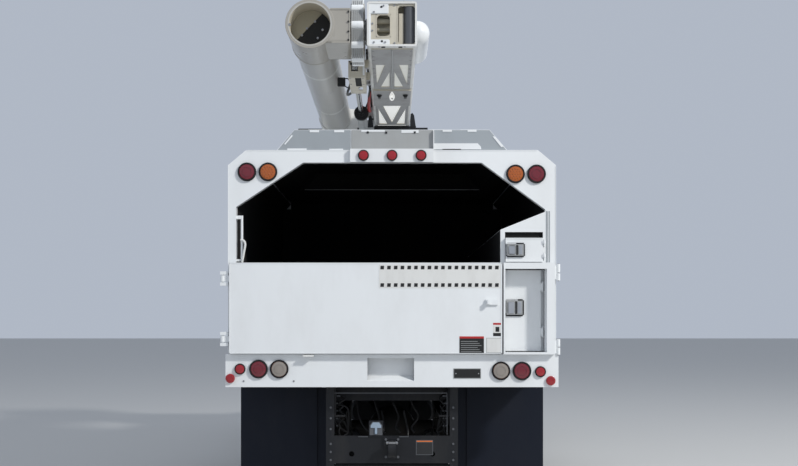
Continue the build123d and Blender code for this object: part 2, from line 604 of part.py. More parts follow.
def make_rear_frame():
    outer = [
        (-BODY_HALF_W, FLOOR_Z), (-BODY_HALF_W, EAVE_Z), (-ROOF_EDGE_X, ROOF_Z),
        (ROOF_EDGE_X, ROOF_Z), (BODY_HALF_W, EAVE_Z), (BODY_HALF_W, FLOOR_Z),
    ]
    frame = prism(outer, "y", 0, REAR_POST_Y)
    frame -= prism(FRAME_HOLE, "y", -1, REAR_POST_Y + 1)
    frame += box(-300, 300, -30, 0, HEADER_Z, ROOF_Z + 6)
    frame += box(-300, 300, -30, 20, ROOF_Z, ROOF_Z + 6)
    frame += box(POST_LEFT_X, POST_LEFT_X + 31, 10, 50, 2190, 2200)
    for z in (1260, 1700):
        for dz in (0, 80):
            lug = box(GATE_HINGE_X - 16, -BODY_HALF_W + 8, GATE_HINGE_Y - 16, 0, z + dz, z + dz + 24)
            lug += box(GATE_HINGE_X - 16, -BODY_HALF_W, GATE_HINGE_Y, 11, z + dz, z + dz + 24)
            frame += lug
        frame += rod("z", (GATE_HINGE_X, GATE_HINGE_Y), 9, z, z + 104)
    for z in (1880, 2200):
        frame += box(POST_LEFT_X - 3, POST_LEFT_X + 41, 22, 38, z, z + 16)
    frame += rod("z", (POST_LEFT_X + 39, 30), 9, 1880, 2216)
    for z in LOWER_HINGE_Z:
        for dz in (-6, 66):
            frame += box(LOWER_DOOR_X - 6, POST_RIGHT_X + 4, LOWER_DOOR_Y - 6, LOWER_DOOR_Y + 6, z + dz, z + dz + 6)
        frame += rod("z", (LOWER_DOOR_X, LOWER_DOOR_Y), 5, z - 6, z + 72)
    keep("rear_frame", frame)


def make_rear_sill():
    sill = box(-SILL_HALF_W, SILL_HALF_W, -20, 100, SILL_Z, FLOOR_Z)
    sill -= box(-SILL_HALF_W + 12, SILL_HALF_W - 12, -8, 101, SILL_Z + 12, FLOOR_Z - 12)
    sill -= box(-179, 161, -21, 40, 1004, 1172)
    lip = prism([(-20, 1004), (-20, 998), (70, 1040), (70, 1046)], "x", -179, 161)
    sill += lip
    sill += box(-179, 161, 64, 72, 1040, 1190)
    for side in (-1, 1):
        sill += box(side * 352, side * RAIL_OUT_X, -10, 180, RAIL_TOP_Z, FLOOR_Z - FLOOR_T)
    sill += box(-640, -568, -26, -20, 1188, 1200)
    keep("rear_sill", sill)


def make_gate():
    gate = box(GATE_LEFT_X, GATE_RIGHT_X - 2, GATE_REAR_Y, GATE_FRONT_Y, FLOOR_Z + 5, GATE_TOP_Z)
    span = (GATE_RIGHT_X - 2 - GATE_LEFT_X - 5 * 50) / 4
    for n in range(4):
        x = GATE_LEFT_X + 50 + n * (span + 50)
        gate -= box(x, x + span, GATE_REAR_Y + 6, GATE_FRONT_Y + 1, FLOOR_Z + 55, GATE_TOP_Z - 50)
    for z in (1260, 1700):
        strap = box(GATE_HINGE_X, GATE_LEFT_X + 10, GATE_HINGE_Y - 12, GATE_HINGE_Y + 12, z + 30, z + 74)
        strap += rod("z", (GATE_HINGE_X, GATE_HINGE_Y), 17, z + 30, z + 74)
        strap -= rod("z", (GATE_HINGE_X, GATE_HINGE_Y), 9 + FIT, z, z + 104)
        gate += strap
    for x in (GATE_RIGHT_X - 122,):
        gate += box(x, x + 90, GATE_REAR_Y - 14, GATE_REAR_Y, 1560, 1600)
        gate += box(x + 10, x + 30, GATE_REAR_Y - 40, GATE_REAR_Y, 1565, 1595)
    keep("tailgate", gate)


def make_tunnel():
    wall = 20
    inner = box(TUNNEL_X, TUNNEL_X + wall, wall, BODY_LEN - HEAD_T, FLOOR_Z, TUNNEL_TOP_Z)
    slope = (TUNNEL_EDGE_Z - TUNNEL_TOP_Z) / (SKIN_IN_X - TUNNEL_X)
    top = [
        (TUNNEL_X, TUNNEL_TOP_Z - wall), (TUNNEL_X, TUNNEL_TOP_Z), (SKIN_IN_X, TUNNEL_EDGE_Z),
        (SKIN_IN_X, TUNNEL_EDGE_Z - wall),
    ]
    tunnel = inner + prism(top, "y", REAR_POST_Y, BODY_LEN - HEAD_T)
    edge = POST_RIGHT_X
    high = TUNNEL_TOP_Z + slope * (edge - TUNNEL_X)
    face = [(TUNNEL_X, FLOOR_Z), (TUNNEL_X, TUNNEL_TOP_Z), (edge, high), (edge, FLOOR_Z)]
    tunnel += prism(face, "y", 0, wall)
    short = [(TUNNEL_X, TUNNEL_TOP_Z - wall), (TUNNEL_X, TUNNEL_TOP_Z), (edge, high), (edge, high - wall)]
    tunnel += prism(short, "y", 0, REAR_POST_Y)
    tunnel -= box(DOOR_IN_X - 2, edge - 16, -1, wall + 1, 1880, 2094)
    tunnel -= box(DOOR_IN_X - 5, edge, -1, wall + 1, LOWER_DOOR_Z[0], LOWER_DOOR_Z[1])
    for z in (1900, 2000):
        tunnel += box(edge - 15, UPPER_DOOR_X + 9, -10, 2, z, z + 10)
        tunnel += rod("z", (UPPER_DOOR_X, -24), 6, z - 10, z + 40)
        tunnel += box(UPPER_DOOR_X - 6, UPPER_DOOR_X + 6, -24, 0, z - 10, z)
    keep("tool_tunnel", tunnel)
    leaf = box(DOOR_IN_X, UPPER_DOOR_X - 10, -24, -24 + LEAF_T, UPPER_DOOR_Z[0], UPPER_DOOR_Z[1])
    for z in (1900, 2000):
        leaf += box(UPPER_DOOR_X - 14, UPPER_DOOR_X, -30, -24, z + 6, z + 30)
        leaf += rod("z", (UPPER_DOOR_X, -24), 11, z + 6, z + 30)
        leaf -= rod("z", (UPPER_DOOR_X, -24), 6 + FIT, z - 20, z + 50)
    leaf += box(DOOR_IN_X + 6, DOOR_IN_X + 76, -38, -24, 1925, 2010)
    keep("tunnel_door_upper", leaf)


def make_corner():
    panel = box(GATE_RIGHT_X + 10, BODY_HALF_W - 15, GATE_REAR_Y, 0, FLOOR_Z, GATE_TOP_Z)
    panel -= box(DOOR_IN_X - 5, POST_RIGHT_X + 5, GATE_REAR_Y - 1, 1, LOWER_DOOR_Z[0], LOWER_DOOR_Z[1])
    panel -= box(BODY_HALF_W - 60, BODY_HALF_W - 20, GATE_REAR_Y + 8, 1, FLOOR_Z + 20, GATE_TOP_Z - 20)
    keep("tool_tunnel", *NODES["tool_tunnel"], panel)


def make_lower_door():
    y = LOWER_DOOR_Y
    low, high = LOWER_DOOR_Z
    leaf = box(DOOR_IN_X, LOWER_DOOR_X - 10, y, y + LEAF_T, low + 6, high - 6)
    for z in LOWER_HINGE_Z:
        leaf += box(LOWER_DOOR_X - 14, LOWER_DOOR_X, y - 6, y, z + 6, z + 60)
        leaf += rod("z", (LOWER_DOOR_X, y), 9, z + 6, z + 60)
        leaf -= rod("z", (LOWER_DOOR_X, y), 5 + FIT, z - 20, z + 90)
        leaf -= box(LOWER_DOOR_X - 12, LOWER_DOOR_X + 12, y - 12, y + LEAF_T + 1, z - 16, z + 6)
        leaf -= box(LOWER_DOOR_X - 12, LOWER_DOOR_X + 12, y - 12, y + LEAF_T + 1, z + 60, z + 82)
    leaf += box(DOOR_IN_X + 6, DOOR_IN_X + 96, y - 14, y, 1500, 1600)
    keep("tunnel_door_lower", leaf)


LAMP_R = 56
SMALL_LAMP_R = 33
MARKER_R = 34
LAMP_T = 14
# Lamp places: colour, x, z, radius, seat in y
LAMPS = [
    ("red", 139 - BODY_HALF_W, 2533, LAMP_R, 0),
    ("amber", 293 - BODY_HALF_W, 2533, LAMP_R, 0),
    ("amber", BODY_HALF_W - 297, 2518, LAMP_R, 0),
    ("red", BODY_HALF_W - 143, 2518, LAMP_R, 0),
    ("red", -208, 2650, SMALL_LAMP_R, -30),
    ("red", 0, 2650, SMALL_LAMP_R, -30),
    ("red", 212, 2650, SMALL_LAMP_R, -30),
    ("red", -(SILL_HALF_W - 107), 1092, SMALL_LAMP_R, -20),
    ("red", -(SILL_HALF_W - 36), 1024, MARKER_R, -20),
    ("red", -(SILL_HALF_W - 242), 1092, LAMP_R, -20),
    ("amber", -(SILL_HALF_W - 393), 1092, LAMP_R, -20),
    ("amber", SILL_HALF_W - 421, 1079, LAMP_R, -20),
    ("red", SILL_HALF_W - 268, 1078, LAMP_R, -20),
    ("red", SILL_HALF_W - 133, 1073, SMALL_LAMP_R, -20),
    ("red", SILL_HALF_W - 58, 1007, MARKER_R, -20),
]


def make_lamps():
    for colour, name in (("red", "tail_lamps"), ("amber", "signal_lamps")):
        keep(name, *[rod("y", (x, z), r, y - LAMP_T, y) for c, x, z, r, y in LAMPS if c == colour])


FLAP_Y = 500
CHAIN_EYE_X = 300
CHAIN_EYE_Z = 455
CHAIN_EYE_R = 20
HITCH_T = 20
HITCH_Z = 500
HITCH_LOW_Z = 385
HITCH_TOP_Z = 590


def make_rear_gear():
    flaps = []
    for side in (-1, 1):
        flap = box(side * 580, side * SKIN_OUT_X, FLAP_Y, FLAP_Y + 12, 230, 1010)
        flap += box(side * 600, side * (SKIN_OUT_X - 20), FLAP_Y + 12, FLAP_Y + 40, 970, 1010)
        flap += box(side * RAIL_OUT_X, side * 640, FLAP_Y + 12, FLAP_Y + 40, 970, 1000)
        flaps.append(flap)
    keep("mud_flaps", *flaps)
    y = RAIL_REAR_Y
    plate = box(-490, 490, y - HITCH_T, y, HITCH_LOW_Z, HITCH_TOP_Z)
    for side in (-1, 1):
        plate += box(side * RAIL_OUT_X, side * 490, y - HITCH_T, y + 80, HITCH_LOW_Z - 25, RAIL_TOP_Z - 40)
        plate -= rod("y", (side * CHAIN_EYE_X, CHAIN_EYE_Z), CHAIN_EYE_R, y - 60, y + 60)
    front = y - HITCH_T
    jaw = box(-60, 60, front - 16, front, HITCH_Z - 80, HITCH_Z + 80)
    hook = rod("x", (front - 80, HITCH_Z), 62, -28, 28) - rod("x", (front - 80, HITCH_Z + 12), 34, -40, 40)
    hook += box(-28, 28, front - 34, front - 12, HITCH_Z - 60, HITCH_Z + 60)
    hook -= box(-40, 40, front - 110, front - 70, HITCH_Z + 26, HITCH_Z + 90)
    plate += jaw
    plate += hook
    plate += box(-172, -66, front - 6, y, HITCH_TOP_Z - 10, HITCH_TOP_Z + 112)
    keep("rear_hitch", plate)


BOX_IN_X = 445
BOX_TOP_Z = 1900
BOX_Y = BODY_LEN + 40
BOX_END_Y = CAB_Y - 50
CABINET_WALL = 10
CABINET_PIN_X = BODY_HALF_W + 15


def make_cross_boxes():
    shells = []
    for side, word in ((-1, "left"), (1, "right")):
        shell = box(side * BOX_IN_X, side * BODY_HALF_W, BOX_Y, BOX_END_Y, 760, BOX_TOP_Z)
        shell -= box(
            side * (BOX_IN_X + CABINET_WALL), side * (BODY_HALF_W + 1),
            BOX_Y + CABINET_WALL, BOX_END_Y - CABINET_WALL, 760 + CABINET_WALL, BOX_TOP_Z - CABINET_WALL,
        )
        for y in (BOX_Y + 100, BOX_END_Y - 200):
            shell += box(side * RAIL_OUT_X, side * (BOX_IN_X + 2), y, y + 100, 780, 980)
        leaf = box(
            side * (BODY_HALF_W - 22), side * (BODY_HALF_W - 2),
            BOX_Y + CABINET_WALL + 6, BOX_END_Y - CABINET_WALL - 6, 776, BOX_TOP_Z - CABINET_WALL - 6,
        )
        pin_y = BOX_Y + 6
        for z in (980, 1640):
            shell += rod("z", (side * CABINET_PIN_X, pin_y), 5, z - 8, z + 68)
            for dz in (-8, 60):
                shell += box(side * (BODY_HALF_W - 4), side * (CABINET_PIN_X + 5), pin_y - 5, pin_y + 3, z + dz, z + dz + 8)
            leaf += rod("z", (side * CABINET_PIN_X, pin_y), 9, z + 4, z + 56)
            leaf += box(side * (BODY_HALF_W - 8), side * CABINET_PIN_X, pin_y + 14, pin_y + 40, z + 4, z + 56)
            leaf += box(side * (CABINET_PIN_X - 7), side * (CABINET_PIN_X + 9), pin_y, pin_y + 40, z + 4, z + 56)
            leaf -= rod("z", (side * CABINET_PIN_X, pin_y), 5 + FIT, z - 20, z + 80)
        leaf += box(side * (BODY_HALF_W - 4), side * (BODY_HALF_W + 14), BOX_END_Y - 170, BOX_END_Y - 60, 1310, 1350)
        shells.append(shell)
        keep("cabinet_door_" + word, leaf)
    keep("cross_boxes", *shells)


# Pedestal, turntable and boom rest
RING_R = 420
PLATE_IN_X = 190
PLATE_T = 25
PIVOT_PIN_R = 32
LIFT_BASE_Y = PIVOT_Y - 60
LIFT_BASE_Z = TABLE_Z + 210
LIFT_EYE_Y = PIVOT_Y - 900
LIFT_EYE_Z = 3310
LIFT_PIN_R = 28
REST_Y = BODY_LEN - 520
REST_LEN = 140
REST_TOP_Z = BOOM_BOTTOM_Z - 24


def make_pedestal():
    y = AXIS_Y
    low = box(-350, 350, y - 350, y + 350, RAIL_TOP_Z + 28, 1900)
    top = box(-280, 280, y - 280, y + 280, 1890, TABLE_Z - 30)
    top += box(-330, 330, y - 330, y + 330, 1900, 1930)
    base = box(-RAIL_OUT_X, RAIL_OUT_X, y - 420, y + 420, RAIL_TOP_Z, RAIL_TOP_Z + 30)
    deck = rod("z", (0, y), RING_R - 40, TABLE_Z - 40, TABLE_Z)
    keep("pedestal", fuse(low, top, base, deck))


def make_turntable():
    y = AXIS_Y
    table = rod("z", (0, y), RING_R, TABLE_Z + SEAT, TABLE_Z + 110)
    outline = [
        (y - 300, TABLE_Z + 100), (PIVOT_Y + 140, TABLE_Z + 100), (PIVOT_Y + 150, 3000),
        (PIVOT_Y + 110, PIVOT_Z + 90), (PIVOT_Y - 110, PIVOT_Z + 90), (PIVOT_Y - 190, 3200), (y - 60, 2760),
    ]
    for side in (-1, 1):
        table += prism(outline, "x", side * PLATE_IN_X, side * (PLATE_IN_X + PLATE_T))
        table += box(side * PLATE_IN_X, side * (PLATE_IN_X + PLATE_T + 12), y - 300, y + 440, TABLE_Z + 100, TABLE_Z + 150)
    table += box(-PLATE_IN_X, PLATE_IN_X, y + 60, PIVOT_Y + 140, TABLE_Z + 90, TABLE_Z + 112)
    table += box(-PLATE_IN_X, PLATE_IN_X, PIVOT_Y + 118, PIVOT_Y + 134, TABLE_Z + 100, 2980)
    table += rod("x", (PIVOT_Y, PIVOT_Z), PIVOT_PIN_R, -(PLATE_IN_X + PLATE_T + 14), PLATE_IN_X + PLATE_T + 14)
    table += rod("x", (LIFT_BASE_Y, LIFT_BASE_Z), LIFT_PIN_R, -(PLATE_IN_X + PLATE_T + 10), PLATE_IN_X + PLATE_T + 10)
    keep("turntable", table)


def make_rest():
    y0, y1 = REST_Y, REST_Y + REST_LEN
    rest = box(-346, 356, y0, y1, REST_TOP_Z - 24, REST_TOP_Z)
    for side in (-1, 1):
        rest += box(side * 200, side * 260, y0 + 40, y0 + 100, ROOF_Z, REST_TOP_Z - 20)
        rest += box(side * 180, side * 330, y0 - 20, y1 + 20, ROOF_Z, ROOF_Z + 12)
    rest += box(-260, 260, y0 + 45, y0 + 95, 3000, 3060)
    keep("boom_rest", rest)


def lift_geometry():
    dy, dz = LIFT_EYE_Y - LIFT_BASE_Y, LIFT_EYE_Z - LIFT_BASE_Z
    return math.hypot(dy, dz), math.degrees(math.atan2(dz, dy))


BARREL_LEN = 930


def make_lift():
    length, angle = lift_geometry()
    here = Pos(0, LIFT_BASE_Y, LIFT_BASE_Z) * Rot(angle, 0, 0)
    barrel = Pos(0, BARREL_LEN / 2 + 20, 0) * Rot(90, 0, 0) * Cylinder(BARREL_R, BARREL_LEN - 40)
    barrel += Rot(0, 90, 0) * Cylinder(62, 100)
    barrel += Pos(0, BARREL_LEN - 10, 0) * Rot(90, 0, 0) * Cylinder(BARREL_R + 8, 50)
    barrel -= Rot(0, 90, 0) * Cylinder(LIFT_PIN_R + FIT, 300)
    barrel -= Pos(0, (BARREL_LEN + 200) / 2 + 40, 0) * Rot(90, 0, 0) * Cylinder(ROD_R + FIT, BARREL_LEN)
    keep("lift_barrel", here * barrel)
    tail = 150
    piece = Pos(0, (length + tail) / 2, 0) * Rot(90, 0, 0) * Cylinder(ROD_R, length - tail)
    piece += Pos(0, length, 0) * Rot(0, 90, 0) * Cylinder(44, 52)
    piece += Pos(0, length, 0) * Rot(0, 90, 0) * Cylinder(20, 72)
    keep("lift_rod", here * piece)


# Lower boom
LUG_IN_X = 44
LUG_T = 16
BARREL_SLOT_X = BARREL_R + 20
LATTICE_T = 8
LATTICE_HALF_W = 150
STRUT = 44
LATTICE_TOP = (330, 1180)
LATTICE_LOW_Y = 2020
LATTICE_RIB = 40
END_PLATE_Y = -236
HUB_R = 60


def make_lower_boom():
    y0, y1 = -BOOM_OVERHANG, PIVOT_Y + 140
    boom = rounded(box(-BOOM_HALF_W, BOOM_HALF_W, y0, y1, BOOM_BOTTOM_Z, BOOM_TOP_Z), Axis.Y, 18)
    boom -= box(
        -BOOM_HALF_W + BOOM_WALL, BOOM_HALF_W - BOOM_WALL, y0 - 1, y1 + 1,
        BOOM_BOTTOM_Z + BOOM_WALL, BOOM_TOP_Z - BOOM_WALL,
    )
    boom -= box(-BARREL_SLOT_X, BARREL_SLOT_X, PIVOT_Y - 260, y1 + 1, BOOM_BOTTOM_Z - 1, BOOM_BOTTOM_Z + BOOM_WALL + 1)
    boom -= rod("x", (PIVOT_Y, PIVOT_Z), PIVOT_PIN_R + FIT, -300, 300)
    boom += ring(ELBOW_Y, BOOM_Z, -BOOM_HALF_W - 14, -BOOM_HALF_W + 2, 95, HUB_R + FIT)
    boom -= rod("x", (ELBOW_Y, BOOM_Z), HUB_R + FIT, -260, -100)
    for side in (-1, 1):
        lug = prism(
            [(LIFT_EYE_Y - 110, BOOM_BOTTOM_Z + 2), (LIFT_EYE_Y - 50, LIFT_EYE_Z - 40),
             (LIFT_EYE_Y + 50, LIFT_EYE_Z - 40), (LIFT_EYE_Y + 110, BOOM_BOTTOM_Z + 2)],
            "x", side * LUG_IN_X, side * (LUG_IN_X + LUG_T),
        )
        lug -= rod("x", (LIFT_EYE_Y, LIFT_EYE_Z), 22, side * 30, side * 80)
        boom += lug
    keep("lower_boom", boom)
    plate = box(-LATTICE_HALF_W, LATTICE_HALF_W, -180, REST_Y - 60, BOOM_BOTTOM_Z - LATTICE_T, BOOM_BOTTOM_Z)
    half = LATTICE_HALF_W - STRUT * 0.6
    near, far = LATTICE_TOP
    rib = LATTICE_RIB / 2
    low = REST_Y - 120
    cuts = [
        [(rib, near + 260), (rib, far), (half - 30, far)],
        [(rib + 34, near), (half, near), (half, far - 120)],
        [(rib + 20 - half, LATTICE_LOW_Y), (half - rib - 20, LATTICE_LOW_Y), (0, low - 80)],
        [(STRUT, low), (half, low), (half, LATTICE_LOW_Y + 180)],
    ]
    for cut in cuts:
        plate -= prism(cut, "z", BOOM_BOTTOM_Z - 40, BOOM_BOTTOM_Z)
        if cut is not cuts[2]:
            plate -= prism([(-x, y) for x, y in cut], "z", BOOM_BOTTOM_Z - 40, BOOM_BOTTOM_Z)
    plate += box(-LATTICE_HALF_W - 10, LATTICE_HALF_W + 10, 1270, 1960, BOOM_BOTTOM_Z - 22, BOOM_BOTTOM_Z - LATTICE_T + 1)
    end = rounded(
        box(-BOOM_HALF_W + BOOM_WALL + SEAT, BOOM_HALF_W - BOOM_WALL - SEAT, END_PLATE_Y, END_PLATE_Y + 14,
            BOOM_BOTTOM_Z + BOOM_WALL + SEAT, BOOM_TOP_Z - BOOM_WALL - SEAT), Axis.Y, 2)
    end -= rounded(box(-107, -15, END_PLATE_Y - 30, END_PLATE_Y + 30, 3470, 3620), Axis.Y, 26)
    end -= rounded(box(43, 164, END_PLATE_Y - 30, END_PLATE_Y + 30, 3415, 3685), Axis.Y, 22)
    keep("boom_plates", plate, end)
    saddle = box(-240, 240, REST_Y + 10, REST_Y + REST_LEN - 10, REST_TOP_Z + 5, BOOM_BOTTOM_Z - LATTICE_T)
    saddle += box(-150, 150, REST_Y + 10, REST_Y + REST_LEN - 10, BOOM_BOTTOM_Z - LATTICE_T - 1, BOOM_BOTTOM_Z)
    for side in (-1, 1):
        horn = prism(
            [(side * 182, REST_TOP_Z + 6), (side * 182, 3510), (side * 205, 3525), (side * 222, 3500), (side * 240, REST_TOP_Z + 6)],
            "y", REST_Y + 30, REST_Y + REST_LEN - 30,
        )
        saddle += horn
    keep("boom_saddle", saddle)
    cover = rod("y", (BOOM_HALF_W + 4, 3508), 88, -160, 440) + Pos(BOOM_HALF_W + 4, -160, 3508) * Sphere(88)
    cover -= box(-200, BOOM_HALF_W + SEAT, -400, 800, 3300, 3800)
    keep("boom_cover", cover)


# Elbow drive on the lower boom
STRAND_X = -282
STRAND_Z = BOOM_Z - SHEAVE_R
GUARD_Y = 270
GUARD_END_Y = 900
GUARD_WALL = 6
ELBOW_ROD_R = 22
CYLINDER_END_Y = REST_Y - 40
CYLINDER_Y = CYLINDER_END_Y - 910
CYLINDER_R = 46


def make_elbow_drive():
    x0, x1 = STRAND_X - 48, STRAND_X + 77
    z0, z1 = STRAND_Z - 70, STRAND_Z + 58
    guard = box(x0, x1, GUARD_Y, GUARD_END_Y, z0, z1)
    guard -= box(x0 + GUARD_WALL, x1 - GUARD_WALL, GUARD_Y - 1, GUARD_END_Y + 1, z0 + GUARD_WALL, z1 - GUARD_WALL)
    guard -= box(STRAND_X + 18, STRAND_X + 52, 640, 760, z0 - 1, z0 + 20)
    for y in (GUARD_Y + 60, GUARD_END_Y - 120):
        guard += box(x1 - 1, -BOOM_HALF_W, y, y + 60, z1 - 40, z1 + 20)
        guard += box(x1 - 40, x1, y, y + 60, z1 - 2, z1 + 20)
    keep("boom_plates", *NODES["boom_plates"], guard)
    barrel = rod("y", (STRAND_X, STRAND_Z), CYLINDER_R, CYLINDER_Y + 10, CYLINDER_END_Y)
    barrel -= rod("y", (STRAND_X, STRAND_Z), ELBOW_ROD_R + FIT, CYLINDER_Y - 50, CYLINDER_END_Y - 40)
    barrel += ring_y(STRAND_X, STRAND_Z, CYLINDER_Y, CYLINDER_Y + 35, 64, ELBOW_ROD_R + FIT)
    for y in (CYLINDER_Y + 100, CYLINDER_END_Y - 120):
        barrel += box(STRAND_X + 38, -BOOM_HALF_W, y, y + 60, STRAND_Z - 20, STRAND_Z + 70)
        barrel -= rod("y", (STRAND_X, STRAND_Z), ELBOW_ROD_R + FIT, CYLINDER_Y - 50, CYLINDER_END_Y - 40)
    keep("elbow_barrel", barrel)
    slide = rod("y", (STRAND_X, STRAND_Z), ELBOW_ROD_R, GUARD_END_Y + 60, CYLINDER_Y + 60)
    slide += box(STRAND_X - 26, STRAND_X + 26, GUARD_END_Y - 20, GUARD_END_Y + 70, STRAND_Z - 26, STRAND_Z + 26)
    slide += box(STRAND_X - 18, STRAND_X + 18, GUARD_Y - 10, GUARD_END_Y, STRAND_Z - 12, STRAND_Z + 12)
    keep("elbow_rod", slide)


def ring_y(x, z, y0, y1, outer, inner):
    return rod("y", (x, z), outer, y0, y1) - rod("y", (x, z), inner, y0 - 1, y1 + 1)


# Upper boom and bucket
TUBE_END_Y = TIP_Y - 900
TIP_Z = 3480
TIP_SHAFT_R = 25
TIP_ARM_X = (-400, -300)
TIP_ARM_HALF = 62
LEVEL_SHEAVE_R = 150
BUCKET_IN_X = -420


def make_upper_boom():
    tube = ring_y(TUBE_X, BOOM_Z, -SLEEVE_LEN / 2 + 20, TUBE_END_Y, TUBE_R, TUBE_R - TUBE_WALL)
    tube += rod("y", (TUBE_X, BOOM_Z), TUBE_R - TUBE_WALL + 1, -40, -20)
    keep("upper_tube", tube)
    seat = TUBE_R + SEAT
    arm = ring_y(TUBE_X, BOOM_Z, -250, 300, seat + SLEEVE_WALL, seat)
    link = rounded(box(TUBE_X, LINK_OUT_X, -250, 300, 3420, 3667), Axis.X, 20)
    link -= box(TUBE_X, LINK_OUT_X - LINK_WALL, -250 + LINK_WALL, 301, 3420 + LINK_WALL, 3667 - LINK_WALL)
    arm += link
    arm -= rod("y", (TUBE_X, BOOM_Z), seat, -400, 500)
    wheel = rod("x", (ELBOW_Y, BOOM_Z), SHEAVE_R, LINK_OUT_X, LINK_IN_X)
    wheel -= ring(ELBOW_Y, BOOM_Z, LINK_OUT_X + 14, LINK_IN_X + 1, SHEAVE_R - 24, HUB_R + 12)
    for n in range(10):
        a = 2 * math.pi * n / 10
        cy, cz = ELBOW_Y + 212 * math.cos(a), BOOM_Z + 212 * math.sin(a)
        wheel += rod("x", (cy, cz), 28, LINK_OUT_X + 8, LINK_IN_X - 8)
    wheel += rod("x", (ELBOW_Y, BOOM_Z), HUB_R, LINK_OUT_X, -168)
    keep("elbow_arm", arm + wheel)
    tip = ring_y(TUBE_X, BOOM_Z, TUBE_END_Y - 220, TUBE_END_Y, seat + SLEEVE_WALL, seat)
    tip += rod("y", (TUBE_X, BOOM_Z), seat + SLEEVE_WALL, TUBE_END_Y + SEAT, TUBE_END_Y + 16)
    tip += ring_y(TUBE_X, BOOM_Z, TUBE_END_Y - 20, TUBE_END_Y + 10, seat + SLEEVE_WALL, seat)
    block_ = box(TUBE_X + 20, TIP_ARM_X[1], TUBE_END_Y - 200, TUBE_END_Y + 16, TIP_Z - TIP_ARM_HALF, 3640)
    block_ -= box(TUBE_X, TIP_ARM_X[0], TUBE_END_Y - 186, TUBE_END_Y + 2, TIP_Z - TIP_ARM_HALF + 14, 3626)
    block_ -= rod("y", (TUBE_X, BOOM_Z), seat, 0, TUBE_END_Y + SEAT)
    tip += block_
    arm_line = [
        (TUBE_END_Y - 120, TIP_Z - TIP_ARM_HALF), (TIP_Y, TIP_Z - TIP_ARM_HALF + 8), (TIP_Y, TIP_Z + TIP_ARM_HALF - 8),
        (TUBE_END_Y - 120, 3640),
    ]
    tip += prism(arm_line, "x", TIP_ARM_X[0], TIP_ARM_X[1])
    tip += rod("x", (TIP_Y, TIP_Z), TIP_ARM_HALF - 8, TIP_ARM_X[0], TIP_ARM_X[1])
    tip -= rod("x", (TIP_Y, TIP_Z), TIP_SHAFT_R + FIT, -500, -200)
    keep("tip_arm", tip)
    sheave = rod("x", (TIP_Y, TIP_Z), LEVEL_SHEAVE_R, TIP_ARM_X[1] + 8, TIP_ARM_X[1] + 38)
    sheave += rod("x", (TIP_Y, TIP_Z), TIP_SHAFT_R, BUCKET_IN_X - 4, TIP_ARM_X[1] + 10)
    keep("level_sheave", sheave)


def make_bucket():
    x1, x0 = BUCKET_IN_X, BUCKET_IN_X - BUCKET_SIDE
    half = BUCKET_SIDE / 2
    shell = rounded(box(x0, x1, TIP_Y - half, TIP_Y + half, BUCKET_BOTTOM_Z, BUCKET_TOP_Z), Axis.Z, 60)
    cut = rounded(
        box(x0 + BUCKET_WALL, x1 - BUCKET_WALL, TIP_Y - half + BUCKET_WALL, TIP_Y + half - BUCKET_WALL,
            BUCKET_BOTTOM_Z + BUCKET_WALL, BUCKET_TOP_Z + 1), Axis.Z, 52)
    shell -= cut
    shell += rod("x", (TIP_Y, TIP_Z), 46, x1 - BUCKET_WALL, x1 + 16)
    shell -= rod("x", (TIP_Y, TIP_Z), TIP_SHAFT_R + FIT, x1 - 4.5, x1 + 40)
    shell += box(x0 - 18, x0, TIP_Y - 150, TIP_Y + 150, BUCKET_BOTTOM_Z + 330, BUCKET_BOTTOM_Z + 350)
    keep("bucket", shell)


for make in (
    make_frame_nodes, make_front_axle, make_rear_axle, make_wheels, make_driveline, make_cab, make_interior,
    make_hood, make_bumper, make_side_boxes, make_body, make_rear_frame, make_rear_sill, make_gate, make_tunnel,
    make_corner, make_lower_door, make_lamps, make_rear_gear, make_cross_boxes, make_pedestal, make_turntable,
    make_rest, make_lift, make_lower_boom, make_elbow_drive, make_upper_boom, make_bucket,
):
    make()

os.makedirs("parts", exist_ok=True)
for name, solids in NODES.items():
    placed = [Pos(0, REAR_SHIFT, 0) * solid for solid in solids]
    export_step(placed[0] if len(placed) == 1 else Compound(children=placed), "parts/" + name + ".step")
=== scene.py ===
import json
import math

import bmesh
import bpy
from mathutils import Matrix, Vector

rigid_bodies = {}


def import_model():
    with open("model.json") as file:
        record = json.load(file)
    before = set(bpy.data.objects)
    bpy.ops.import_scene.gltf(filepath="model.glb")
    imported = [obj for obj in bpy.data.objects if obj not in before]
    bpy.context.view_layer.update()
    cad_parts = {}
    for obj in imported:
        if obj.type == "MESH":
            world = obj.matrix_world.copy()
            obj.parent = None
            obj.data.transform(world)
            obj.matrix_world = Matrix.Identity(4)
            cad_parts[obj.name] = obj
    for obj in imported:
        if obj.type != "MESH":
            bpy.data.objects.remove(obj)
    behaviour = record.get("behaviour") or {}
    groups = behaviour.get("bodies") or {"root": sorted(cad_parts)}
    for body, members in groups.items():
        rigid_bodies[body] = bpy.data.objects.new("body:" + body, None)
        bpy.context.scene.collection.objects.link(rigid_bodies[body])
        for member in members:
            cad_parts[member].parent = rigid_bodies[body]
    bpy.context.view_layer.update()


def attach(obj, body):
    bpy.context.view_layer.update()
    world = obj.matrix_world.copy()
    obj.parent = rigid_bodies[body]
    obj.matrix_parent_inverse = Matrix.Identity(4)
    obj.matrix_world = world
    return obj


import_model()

# The CAD counts y forward from the body's rear face. This is the shift to the shared frame, in metres.
SHIFT = -3.890


def P(x, y, z):
    """A point from the CAD's own millimetres."""
    return Vector((x / 1000.0, y / 1000.0 + SHIFT, z / 1000.0))


def shader(m):
    return m.node_tree.nodes["Principled BSDF"]


